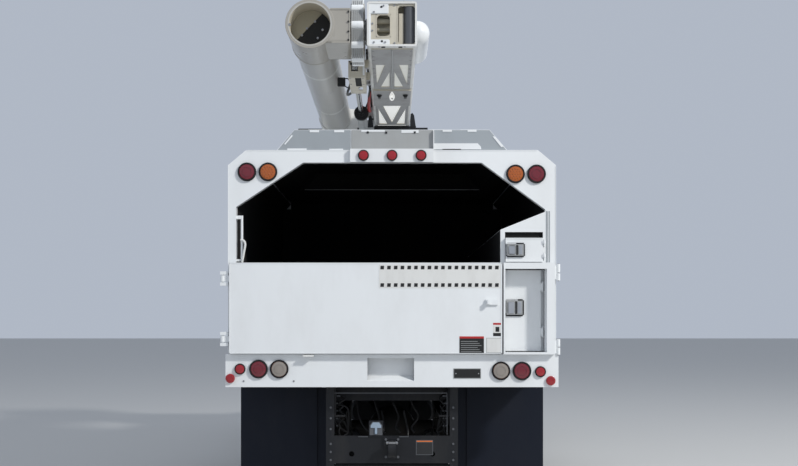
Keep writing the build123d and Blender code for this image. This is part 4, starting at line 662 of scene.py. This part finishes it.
def inside_shades():
    """Thin near-black liners on the inner faces: painted shade inside the closed box."""
    b = Batch("inner_liner", "truck", "inside")
    b.box(-1139.5, -1138, 62, HEADBOARD, 1202, EAVE)
    b.prism([(-1138, 1202), (792, 1202), (792, 2114), (1137, 2253), (1137, 2562), (-1138, 2562)],
            "y", 3626, 3629.5)
    b.box(-1138, 792, 104, 3626, 1200.3, 1202)
    b.box(791.5, 793.5, 30, HEADBOARD, 1202, 2105)
    b.box(1138, 1139.5, 62, HEADBOARD, 2252, EAVE)
    inner = [(-INNER_X, EAVE), (-1050, CEILING), (1050, CEILING), (INNER_X, EAVE)]
    raised = [(-INNER_X, EAVE), (-1050, CEILING), (-822, CEILING), (-697, 2815), (697, 2815), (822, CEILING),
              (1050, CEILING), (INNER_X, EAVE)]
    for line, y0, y1 in ((inner, 2372, HEADBOARD), (raised, 62, 2366)):
        for p, q in zip(line, line[1:]):
            b.prism([p, q, (q[0] * 0.997, q[1] - 4), (p[0] * 0.997, p[1] - 4)], "y", y0, y1)
    b.prism([(-812, 2668), (-694, 2812), (694, 2812), (812, 2668)], "y", 2364, 2367)
    b.box(-1050, 1050, 3624, HEADBOARD, EAVE, 2660)
    for side in (-1, 1):
        b.box(side * INNER_X, side * 1050, 3624, HEADBOARD, 2540, 2600)
    b.done()


body_details()
roof_face()
right_post()
wall_rivets()
tunnel_latches()
opening_rims()
inside_shades()


# Booms: axes of booms, tube and turntable, the turntable's deck, and the lower boom's rear face
BZ = 3555
TUBE_X = -585
TURN_Y, DECK = 4460, 2560
END_Y = -236


def boom_end_details():
    b = Batch("end_covers", "lower_boom", "white")
    b.box(-170, -24, -246, END_Y - 0.2, 3628, 3706, 4)
    b.box(-170, -16, -246, END_Y - 0.2, 3404, 3446, 4)
    b.box(-170, -150, -245, END_Y - 0.2, 3440, 3634)
    b.box(-163, -120, -243, END_Y - 0.2, 3640, 3660, 3)
    b.done()
    b = Batch("end_bolts", "lower_boom", "steel", True)
    for x, z in ((-128, 3640), (-60, 3684), (-128, 3425), (-48, 3425), (-140, 3560), (-140, 3510),
                 (18, 3690), (18, 3420)):
        b.hexes("y", (x, z), 7, -252 if z in (3640, 3684, 3425) else -241, END_Y)
    for x in (-90, 90):
        for z in (3716, 3394):
            b.cyl("z", (x, -238), 9, z - 3, z + 3, 12)
    b.done()
    b = Batch("end_slots", "lower_boom", "labelblack", True)
    for x in (-76, 46):
        b.box(x, x + 26, -243, END_Y, 3700, 3708, 1)
        b.box(x, x + 28, -243, END_Y, 3386, 3394, 1)
    for x, z in ((-76, 3676), (-72, 3432)):
        b.cyl("y", (x, z), 8, -247.5, -245.5, 16)
    b.done()
    b = Batch("end_trims", "lower_boom", "beige")
    for x0, x1, z0, z1 in ((-113, -9, 3464, 3626), (37, 163, 3409, 3691)):
        b.box(x0, x1, END_Y - 2.5, END_Y, z0, z0 + 5)
        b.box(x0, x1, END_Y - 2.5, END_Y, z1 - 5, z1)
        b.box(x0, x0 + 5, END_Y - 2.5, END_Y, z0, z1)
        if x1 < 100:
            b.box(x1 - 5, x1, END_Y - 2.5, END_Y, z0, z1)
    b.done()
    Batch("end_inner_lining", "lower_boom", "lining").box(-162, 162, -150, -144, 3410, 3700).done()
    Batch("end_inner_tube", "lower_boom", "dull", True).cyl("z", (127, -190), 43, 3414, 3696, 40).done()
    b = Batch("end_inner_drum", "lower_boom", "lining", True)
    b.cyl("x", (-172, 3592), 22, -112, -10, 24, 3)
    b.cyl("x", (-168, 3530), 17, -108, -14, 24, 3)
    b.done()
    Batch("end_inner_strip", "lower_boom", "beige", True).box(46, 82, -206, -196, 3416, 3640, 3).done()


def chain():
    b = Batch("chain_rollers", "upper_boom", "white", True)
    links = Batch("chain_links", "upper_boom", "grey")
    for n in range(10):
        a = 2 * math.pi * n / 10
        c = (212 * math.cos(a), BZ + 212 * math.sin(a))
        b.lathe("x", c, [(-293, 10), (-293, 26), (-288, 31), (-250, 31.5), (-248, 29.5), (-246, 31.5),
                         (-209, 31), (-204, 26), (-204, 10)], 24)
        m = a + math.pi / 10
        for xx in (-284, -270, -256, -242, -228, -214):
            pts = []
            for da, r in ((-0.20, 200), (0.20, 200), (0.20, 232), (-0.20, 232)):
                pts.append((r * math.cos(m + da), BZ + r * math.sin(m + da)))
            links.prism(pts, "x", xx - 5, xx + 5)
    b.done()
    links.done()
    b = Batch("sheave_face", "upper_boom", "grey", True)
    b.ring("x", (0, BZ), 196, 170, -296, -199.5, 64, 3)
    b.ring("x", (0, BZ), 100, 62, -296, -199.5, 48, 3)
    b.done()
    b = Batch("sheave_bolts", "upper_boom", "steel", True)
    for n in range(12):
        a = 2 * math.pi * n / 12
        b.hexes("x", (82 * math.cos(a), BZ + 82 * math.sin(a)), 8, -199.5, -193.5)
    b.done()


def under_boom():
    b = Batch("band_items", "lower_boom", "labelblack", True)
    for x in (-108, 114):
        b.cyl("z", (x, 1440), 22, 3360, 3374, 20, 3)
        b.box(x - 13, x + 13, 1420, 1500, 3348, 3364, 4)
    b.done()
    # The hook takes the glowing far-bay finish: painted light.
    b = Batch("band_hook", "lower_boom", "bay_far", True)
    b.tube([(0, 1290, 3368), (-17, 1390, 3356), (-13, 1500, 3350), (0, 1540, 3348), (13, 1500, 3350),
            (17, 1390, 3356), (0, 1290, 3368)], 6, 10, 8)
    b.box(-11, 11, 1380, 1500, 3358, 3366, 3)
    b.done()
    # Glowing sheets above the lattice: painted light between the bars.
    for word, y0, y1 in (("near", 330, 1180), ("far", 2030, 3290)):
        Batch("bay_sheet_" + word, "lower_boom", "bay_" + word).box(-142, 142, y0, y1, 3394.6, 3395.9).done()
    b = Batch("underside_conduit", "lower_boom", "grey", True)
    b.tube([(0, -180, 3384), (4, 300, 3382), (-4, 800, 3383), (0, 1260, 3382)], 5)
    b.done()
    b = Batch("underside_bolts", "lower_boom", "steel", True)
    for side in (-1, 1):
        for k in range(9):
            b.hexes("z", (side * 138, -120 + k * 150), 6, 3384, 3388)
            b.hexes("z", (side * 138, 2010 + k * 118), 6, 3384, 3388)
    b.done()
    b = Batch("boom_hatches", "lower_boom", "white_grimy")
    for y in (600, 2400, 3900):
        b.box(178, 180.5, y, y + 240, 3470, 3640)
    b.done()
    b = Batch("drive_hoses", "lower_boom", "hose", True)
    b.tube([(-190, 300, 3470), (-196, 700, 3480), (-194, 1300, 3462), (-190, 2000, 3470), (-196, 2800, 3474),
            (-186, 3400, 3480)], 10)
    b.tube([(-190, 320, 3500), (-200, 900, 3512), (-196, 1500, 3500), (-192, 2200, 3508), (-198, 3000, 3502),
            (-186, 3600, 3510)], 10)
    b.tube([(-190, 1500, 3440), (-206, 1800, 3430), (-216, 2100, 3440), (-250, 2300, 3402)], 8)
    b.done()
    b = Batch("red_sleeves", "lower_boom", "redhose", True)
    b.tube([(-190, 1700, 3455), (-210, 2000, 3400), (-206, 2200, 3372), (-190, 2600, 3462)], 14)
    b.tube([(-196, 1950, 3420), (-210, 2150, 3405), (-202, 2450, 3424)], 9)
    b.done()
    b = Batch("drive_valve", "lower_boom", "steel", True)
    b.box(-226, -180, 1240, 1330, 3430, 3500, 5)
    b.cyl("y", (-204, 3512), 14, 1230, 1300, 20, 2)
    b.cyl("y", (-204, 3450), 12, 1210, 1250, 20, 2)
    b.done()


def guard_details():
    # A near-black sheet paints the shade seen through the guard's window.
    Batch("guard_window", "lower_boom", "inside").box(-280, -234, 288, 596, 3278.4, 3280.0).done()
    b = Batch("guard_end", "lower_boom", "beige")
    b.box(-330, -308, 264, 270, 3281, 3407, 1)
    b.box(-256, -205, 264, 270, 3281, 3407, 1)
    b.box(-308, -256, 264, 270, 3281, 3328, 1)
    b.box(-308, -256, 264, 270, 3372, 3407, 1)
    b.done()
    Batch("guard_end_light", "lower_boom", "white").box(-222, -206, 258, 264, 3296, 3390, 2).done()
    b = Batch("guard_end_marks", "lower_boom", "labelblack", True)
    b.box(-316, -288, 259, 264, 3374, 3392, 3)
    b.cyl("y", (-318, 3398), 6, 258, 264, 12, 1)
    b.tube([(-331, 700, 3300), (-352, 760, 3270), (-356, 860, 3262), (-333, 930, 3290)], 10)
    b.done()
    b = Batch("guard_bolts", "lower_boom", "steel", True)
    for y in (300, 520, 860):
        for x in (-316, -220):
            b.hexes("z", (x, y), 7, 3276, 3280)
    b.done()
    Batch("gland", "lower_boom", "hose", True).ring("y", (-282, 3350), 66.5, 30, 2176, 2228, 48, 6).done()
    b = Batch("gland_ring", "lower_boom", "hose", True)
    b.ring("y", (-282, 3350), 34, 22.6, 2168, 2190, 32, 3)
    b.done()
    b = Batch("left_horn", "lower_boom", "black", True)
    b.prism([(-224, 3232), (-172, 3232), (-178, 3290), (-188, 3332), (-200, 3342), (-212, 3332),
             (-220, 3290)], "y", 2262, 2284)
    b.done()


boom_end_details()
chain()
under_boom()
guard_details()


def upper_details():
    b = Batch("collar_lips", "upper_boom", "arm", True)
    b.ring("y", (TUBE_X, BZ), 174.5, 150, -254, -246, 64, 2)
    b.ring("y", (TUBE_X, BZ), 175.5, 160, 286, 306, 64, 3)
    b.done()
    b = Batch("collar_inner", "upper_boom", "beige", True)
    b.ring("y", (TUBE_X, BZ), 149, 146.5, -252, -46, 64)
    b.done()
    Batch("bulkhead_plate", "upper_boom", "lining", True).cyl("y", (TUBE_X, BZ), 146, -50, -44, 64).done()
    b = Batch("bulkhead_shade", "upper_boom", "trim", True)
    pts = [(TUBE_X + 145 * math.cos(math.radians(a)),
            BZ + 145 * math.sin(math.radians(a))) for a in range(-146, 59, 6)]
    b.prism(pts, "y", -52, -50.2)
    b.done()
    b = Batch("bulkhead_bits", "upper_boom", "steel", True)
    for x, z in ((-540, 3500), (-620, 3570), (-560, 3620), (-655, 3520), (-505, 3560)):
        b.cyl("y", (x, z), 9, -60, -50, 14, 2)
    b.cyl("y", (-728, 3548), 11, -256, -246, 16, 2)
    b.done()
    b = Batch("arm_seams", "upper_boom", "arm")
    b.box(-440, -298, -253, -250, 3655, 3667)
    b.box(-430, -298, -253, -250, 3420, 3430)
    b.box(-306, -298, -253, -250, 3430, 3655)
    b.done()
    b = Batch("arm_bolts", "upper_boom", "labelblack", True)
    for z in (3440, 3500, 3570, 3640):
        b.hexes("y", (-310, z), 7, -257, -250)
    b.done()
    b = Batch("tube_marks", "upper_boom", "steel", True)
    for y, a in ((1500, -78), (1500, -62), (1530, -70), (2600, -75)):
        c = math.radians(a)
        x, z = TUBE_X + 158 * math.cos(c), BZ + 158 * math.sin(c)
        b.cyl("z", (x, y), 5, z - 2, z + 4, 10)
    b.done()
    b = Batch("tube_bands", "upper_boom", "fibre", True)
    for y in (900, 2500):
        b.ring("y", (TUBE_X, BZ), 159.4, 157, y, y + 60, 64, 0.8)
    b.done()
    b = Batch("tube_tip_hoses", "upper_boom", "hose", True)
    b.tube([(-380, 3860, 3560), (-372, 4100, 3552), (-366, 4400, 3544), (-360, 4640, 3530)], 10)
    b.done()
    b = Batch("side_brackets", "upper_boom", "labelblack", True)
    b.box(-454, -388, 1180, 1214, 3396, 3470, 4)
    b.tube([(-392, 1196, 3464), (-366, 1210, 3462), (-352, 1230, 3440), (-366, 1260, 3400),
            (-392, 1200, 3402)], 5)
    b.done()


def bucket_details():
    x0, x1, y0, y1 = -1030, -420, 4395, 5005
    b = Batch("bucket_rim", "bucket", "trim", True)
    zt = 3560
    b.box(x0 - 8, x1 + 8, y0 - 8, y0 + 10, zt - 22, zt + 6, 4)
    b.box(x0 - 8, x1 + 8, y1 - 10, y1 + 8, zt - 22, zt + 6, 4)
    b.box(x0 - 8, x0 + 10, y0 + 10, y1 - 10, zt - 22, zt + 6, 4)
    b.box(x1 - 10, x1 + 8, y0 + 10, y1 - 10, zt - 22, zt + 6, 4)
    b.done()
    b = Batch("bucket_ribs", "bucket", "fibre", True)
    for z in (2900, 3150):
        b.box(x0 - 5, x1 + 5, y0 - 5, y0, z, z + 40, 2)
        b.box(x0 - 5, x1 + 5, y1, y1 + 5, z, z + 40, 2)
        b.box(x0 - 5, x0, y0, y1, z, z + 40, 2)
    b.done()
    b = Batch("bucket_controls", "bucket", "labelblack", True)
    b.box(x1 - 100, x1 - 9, y1 - 260, y1 - 80, 3480, 3590, 8)
    for k in range(4):
        b.cyl("z", (x1 - 55, y1 - 230 + k * 40), 8, 3590, 3650, 12, 2)
        b.lathe("z", (x1 - 55, y1 - 230 + k * 40), [(3644, 4), (3650, 14), (3664, 15), (3672, 6)], 14)
    b.done()


def turntable_details():
    b = Batch("turntable_bolts", "turntable", "steel", True)
    for n in range(32):
        a = 2 * math.pi * n / 32
        b.hexes("z", (396 * math.cos(a), TURN_Y + 396 * math.sin(a)), 11, DECK, DECK + 14)
    b.done()
    b = Batch("pivot_caps", "turntable", "steel", True)
    for side in (-1, 1):
        for y, z, r in ((4760, 3500, 50), (4700, 2660, 44)):
            b.cyl("x", (y, z), r, *sorted((side * 215, side * 240)), 32, 4)
    b.done()
    b = Batch("turntable_edges", "turntable", "white_grimy")
    for x in (-222, 186):
        b.prism([(4895, DECK), (4903, DECK), (4913, 3000), (4905, 3000)], "x", x, x + 36)
    b.done()
    b = Batch("turn_hoses", "turntable", "hose", True)
    for x in (-110, -70, 70, 110):
        b.tube([(x, 4560, DECK + 12), (x * 1.1, 4540, 2760), (x * 1.2, 4640, 3000), (x * 1.1, 4800, 3180),
                (x, 4830, 3330)], 11)
    b.done()
    b = Batch("turn_motor", "turntable", "black", True)
    b.cyl("z", (300, 4300), 62, DECK, DECK + 180, 28, 6)
    b.cyl("z", (300, 4300), 80, DECK, DECK + 30, 28, 4)
    b.done()
    b = Batch("pedestal_lines", "truck", "white_grimy")
    for z in (1200, 1700, 2100):
        w = 353 if z < 1900 else 283
        b.box(-w, w, TURN_Y - w, TURN_Y + w, z, z + 14)
    b.done()
    b = Batch("valve_bank", "truck", "steel", True)
    b.box(-160, 160, 4810, 4870, 1500, 1640, 5)
    for k in range(6):
        b.cyl("z", (-130 + k * 52, 4840), 10, 1640, 1720, 12, 2)
    b.done()


upper_details()
bucket_details()
turntable_details()


# Cab, hood and chassis dress
CAB_Y, CAB_F, HOOD_F = 5110, 6420, 7790


def cab_details():
    b = Batch("roof_markers", "truck", "amber", True)
    for x in (-620, -160, 0, 160, 620):
        b.box(x - 45, x + 45, CAB_Y + 800, CAB_Y + 860, 2458, 2484, 8)
    b.done()
    b = Batch("door_seals", "truck", "hose")
    for side in (-1, 1):
        b.box(side * 1000, side * 1030, CAB_Y + 268, CAB_Y + 1222, 1068, 1073)
    b.done()
    for side, word in ((-1, "left"), (1, "right")):
        body = "cab_door_" + word
        b = Batch("mirror_face_" + word, body, "mirror", True)
        b.box(side * 1118, side * 1302, CAB_Y + 1067, CAB_Y + 1070.4, 1900, 2160, 2)
        b.box(side * 1118, side * 1302, CAB_Y + 1067, CAB_Y + 1070.4, 1775, 1885, 2)
        b.done()
        b = Batch("door_handle_" + word, body, "labelblack", True)
        b.box(side * 1060, side * 1072, CAB_Y + 330, CAB_Y + 470, 1566, 1592, 4)
        b.done()
        b = Batch("door_crease_" + word, body, "white")
        b.box(side * 1040, side * 1043, CAB_Y + 290, CAB_Y + 1200, 1640, 1652)
        b.done()
        b = Batch("door_trim_" + word, body, "trim")
        b.box(side * 985, side * 994.5, CAB_Y + 300, CAB_Y + 1190, 1110, 1690)
        b.box(side * 930, side * 985, CAB_Y + 420, CAB_Y + 900, 1500, 1540, 8)
        b.done()
        b = Batch("hood_latch_" + word, "hood", "hose", True)
        b.box(side * 868, side * 890, CAB_F + 40, CAB_F + 90, 1330, 1420, 4)
        b.done()
        b = Batch("fender_lip_" + word, "hood", "trim", True)
        pts = []
        for n in range(33):
            a = math.radians(12 + 156 * n / 32)
            y, z = FRONT_Y + 655 * math.cos(a), AXLE_Z + 655 * math.sin(a)
            if z > 745 and 6440 < y < 7725:
                pts.append((side * 1150, y, z))
        b.tube(pts, 9, 8, 2)
        b.done()


def hood_details():
    b = Batch("wipers", "truck", "hose", True)
    for x in (-520, 180):
        b.tube([(x, CAB_F - 6, 1748), (x + 120, CAB_F - 46, 1850), (x + 260, CAB_F - 80, 1930)], 7, 8, 4)
        b.tube([(x + 60, CAB_F - 26, 1806), (x + 300, CAB_F - 84, 1936),
                (x + 480, CAB_F - 112, 1996)], 6, 8, 4)
    b.done()
    rims = Batch("headlamp_rims", "hood", "chrome", True)
    bulbs = Batch("headlamp_bulbs", "hood", "clear", True)
    for x in (-790, -960, 790, 960):
        rims.ring("y", (x, 1040), 66, 56, 7753, 7762, 36, 2)
        bulbs.lathe("y", (x, 1040), [(7754, 56), (7762, 50), (7768, 30), (7770, 4)], 32)
    rims.done()
    bulbs.done()
    b = Batch("turn_lamps", "hood", "amber", True)
    for side in (-1, 1):
        b.box(side * 1060, side * 1120, 7728, 7744, 1000, 1090, 6)
    b.done()
    b = Batch("grille_rim", "hood", "chrome", True)
    for x0, x1, z0, z1 in ((-540, 540, 822, 846), (-540, 540, 1364, 1388), (-540, -516, 846, 1364),
                           (516, 540, 846, 1364)):
        b.box(x0, x1, HOOD_F + 10, HOOD_F + 18, z0, z1, 3)
    b.done()
    b = Batch("hood_crease", "hood", "white")
    b.prism([(CAB_F + 20, 1711), (CAB_F + 20, 1717), (HOOD_F - 100, 1508), (HOOD_F - 100, 1502)], "x", -8, 8)
    b.done()
    b = Batch("bumper_bolts", "truck", "steel", True)
    for x in (-330, -700, -930, 330, 700, 930):
        for z in (600, 460):
            b.hexes("y", (x, z), 13, 7958, 7970)
    b.done()
    Batch("blank_front_plate", "truck", "label").box(-155, 155, 7960, 7963, 470, 570).done()


def cab_inside():
    b = Batch("gauges", "truck", "labelblack", True)
    for x in (-620, -520, -420):
        b.cyl("y", (x, 1590), 40, 6040, 6078, 24, 3)
    b.done()
    b = Batch("seat_covers", "truck", "seat", True)
    for x in (-520, 520):
        b.box(x - 225, x + 225, CAB_Y + 215, CAB_Y + 675, 1459, 1482, 10)
        for k in range(3):
            b.box(x - 215 + k * 150, x - 75 + k * 150, CAB_Y + 225, CAB_Y + 665, 1478, 1490, 6)
    b.done()


def chassis_details():
    b = Batch("rail_bolts", "truck", "steel", True)
    for side in (-1, 1):
        for n in range(22):
            y = 620 + n * 300
            for z in (800, 930):
                b.hexes("x", (y, z), 10, *sorted((side * 430, side * 438)))
    b.done()
    b = Batch("air_tanks", "truck", "frame", True)
    b.cyl("y", (-250, 780), 95, 2260, 2860, 32, 26)
    b.box(-160, 160, 2290, 2330, 596, 730, 6)
    b.box(-440, 440, 250, 300, 296, 376, 14)
    for side in (-1, 1):
        b.box(side * 404, side * 476, 556, 580, 630, 705, 4)
        b.cyl("y", (side * 268, 598), 126, 2300, 2900, 36, 26)
        b.cyl("y", (side * 300, 800), 70, 2320, 2900, 28, 20)
    b.done()
    b = Batch("tank_straps", "truck", "black", True)
    for side in (-1, 1):
        for y in (2420, 2740):
            b.ring("y", (side * 268, 598), 130, 126.5, y, y + 36, 36, 1)
            b.box(side * 268 - 14, side * 268 + 14, y, y + 36, 722, 960)
    b.done()


def tail_details():
    b = Batch("leg_wings", "truck", "rubber")
    for side in (-1, 1):
        b.box(side * 470, side * 584, 515, 519, 200, 925)
    b.done()
    b = Batch("frame_edge_light", "truck", "dull")
    b.box(-445, 410, 144, 149, 903, 909)
    for x in (-446, 408):
        b.box(x, x + 4, 144, 149, 595, 905)
    b.done()
    b = Batch("tail_harness", "truck", "hose", True)
    for k in range(5):
        z = 640 + 52 * k
        b.tube([(-420, 260, z + 40), (-392 + 9 * k, 230, z + 10), (-400, 222, z - 30),
                (-380 + 12 * k, 240, z - 70), (-330, 260, 600)], 7)
        b.tube([(400, 280, z + 50), (388 - 8 * k, 240, z + 8), (396, 230, z - 36), (372, 250, z - 80),
                (340, 280, 610)], 6)
    for k in range(4):
        b.tube([(-300 + 150 * k, 420, 940), (-270 + 140 * k, 380, 820), (-250 + 150 * k, 340, 720),
                (-210 + 120 * k, 300, 640), (-160 + 110 * k, 280, 600)], 8)
    b.done()
    b = Batch("harness_clips", "truck", "dull", True)
    for k in range(5):
        for x in (-404, 396):
            b.box(x - 16, x + 16, 226, 236, 650 + 56 * k, 660 + 56 * k, 2)
    b.done()


def brake_details():
    b = Batch("brake_chambers", "truck", "frame", True)
    for side in (-1, 1):
        b.cyl("y", (side * 330, 470), 72, 1110, 1230, 28, 14)
        b.cyl("y", (side * 330, 470), 24, 1230, 1335, 16, 3)
    b.done()
    b = Batch("air_lines", "truck", "hose", True)
    for side in (-1, 1):
        b.tube([(side * 330, 1110, 500), (side * 340, 1000, 640), (side * 330, 900, 780),
                (side * 300, 700, 840), (side * 320, 420, 850)], 8)
    b.tube([(-80, 330, 760), (-60, 250, 640), (-120, 180, 560), (-160, 168, 600)], 8)
    b.tube([(90, 330, 760), (120, 250, 610), (100, 190, 520), (60, 168, 560)], 8)
    b.done()


def hitch_details():
    b = Batch("hitch_bolts", "truck", "dull", True)
    for x in (-45, 45):
        for z in (435, 565):
            b.hexes("y", (x, z), 10, 106, 114)
    for x in (-455, 455):
        for z in (410, 470, 530, 640, 720, 800):
            b.hexes("y", (x, z), 9, 123, 130)
    b.done()
    # Near-black plates behind the chain eyes paint the shade seen through them.
    b = Batch("chain_eye_backs", "truck", "inside")
    for x in (-300, 300):
        b.box(x - 34, x + 34, 176, 180, 421, 489)
    b.done()
    b = Batch("hitch_latch", "truck", "steel", True)
    b.box(-30, 30, 6, 66, 536, 556, 5)
    b.cyl("x", (54, 546), 12, -44, 44, 18, 3)
    b.done()
    b = Batch("socket_cover", "truck", "dull", True)
    b.prism([(-166, 596), (-72, 596), (-72, 668), (-92, 694), (-146, 694), (-166, 668)], "y", 116, 124)
    b.done()
    b = Batch("socket_lid", "truck", "socket", True)
    b.prism([(-158, 650), (-80, 650), (-80, 666), (-96, 690), (-142, 690), (-158, 666)], "y", 110, 116.5)
    b.box(-128, -110, 106, 116, 604, 652, 3)
    b.done()
    Batch("hitch_label_border", "truck", "dull").box(178, 305, 128.8, 130, 447, 558).done()
    Batch("hitch_label", "truck", "trim").box(183, 300, 128.2, 129, 452, 540).done()
    Batch("hitch_label_strip", "truck", "orange").box(183, 300, 128.2, 129, 545, 553).done()
    b = Batch("plate_marks", "truck", "dull", True)
    for x in (-215, 88):
        b.box(x - 38, x + 38, 126, 130, 578, 588, 2)
    b.done()


def side_details():
    b = Batch("flap_stiffeners", "truck", "steel", True)
    for side in (-1, 1):
        b.box(side * 590, side * 1160, 494, 500, 935, 960, 2)
        for k in range(5):
            b.hexes("y", (side * (640 + k * 118), 948), 9, 486, 494)
    b.done()
    Batch("tank_cap", "truck", "labelblack", True).cyl("z", (-740, 5470), 52, 985, 1008, 28, 4).done()
    b = Batch("tank_steps", "truck", "alu", True)
    for side in (-1, 1):
        for z in (533, 773):
            for k in range(14):
                b.box(side * 1046, side * 1104, 5240 + k * 56, 5254 + k * 56, z - 1, z + 4)
    b.done()
    for side, name, word in ((-1, "cabinet_latches", "left"), (1, "cabinet_latch_right", "right")):
        b = Batch(name, "cabinet_door_" + word, "labelblack", True)
        b.box(side * 1222, side * 1214, 4910, 4990, 1290, 1370, 3)
        b.done()


cab_details()
hood_details()
cab_inside()
chassis_details()
tail_details()
brake_details()
hitch_details()
side_details()


# Stage, light and camera
def plane(name, size, z, mat):
    me = bpy.data.meshes.new(name)
    s = size / 2
    me.from_pydata([(-s, -s, z), (s, -s, z), (s, s, z), (-s, s, z)], [], [(0, 1, 2, 3)])
    o = bpy.data.objects.new(name, me)
    bpy.context.scene.collection.objects.link(o)
    me.materials.append(mat)
    return o


floor_mat = material("floor", (0.52, 0.52, 0.51), 0.8)
floor = plane("floor", 160, 0.0, floor_mat)

world = bpy.context.scene.world or bpy.data.worlds.new("world")
bpy.context.scene.world = world
world.use_nodes = True
bg = world.node_tree.nodes["Background"]
bg.inputs["Color"].default_value = (0.78, 0.86, 1.0, 1)
bg.inputs["Strength"].default_value = 0.56


def area(name, pos, target, size, power, color=(1, 1, 1)):
    d = bpy.data.lights.new(name, "AREA")
    d.energy, d.size, d.color = power, size, color
    o = bpy.data.objects.new(name, d)
    bpy.context.scene.collection.objects.link(o)
    o.location = pos
    o.rotation_euler = (Vector(target) - Vector(pos)).to_track_quat("-Z", "Y").to_euler()


area("key", (12.7, -13.0, 12.8), (0, SHIFT, 2), 1.6, 3000, (1, 0.985, 0.95))
area("fill", (-12, -10, 7), (0, -3, 2), 8, 160, (0.92, 0.96, 1))
area("top", (0, 0, 14), (0, 0, 0), 9, 150)

# The photo's view: image size, the truck's middle column, the horizon's row and the lens, all in pixels
PHOTO_W, PHOTO_H = 798, 466
MIDDLE_COLUMN, HORIZON_ROW, LENS_PX = 392, 320, 1175
CAM_DISTANCE, CAM_HEIGHT = 8.6, 1.45
cam_data = bpy.data.cameras.new("camera")
cam = bpy.data.objects.new("camera", cam_data)
bpy.context.scene.collection.objects.link(cam)
bpy.context.scene.camera = cam
cam_data.sensor_width = 36.0
cam_data.lens = 36.0 * LENS_PX / PHOTO_W
cam.location = (0.0, SHIFT - CAM_DISTANCE, CAM_HEIGHT)
cam.rotation_euler = (math.radians(90), 0, 0)
cam_data.shift_x = (PHOTO_W / 2 - MIDDLE_COLUMN) / PHOTO_W
cam_data.shift_y = (HORIZON_ROW - PHOTO_H / 2) / PHOTO_W
cam_data.clip_end = 300

scene = bpy.context.scene
scene.view_settings.view_transform = "Standard"
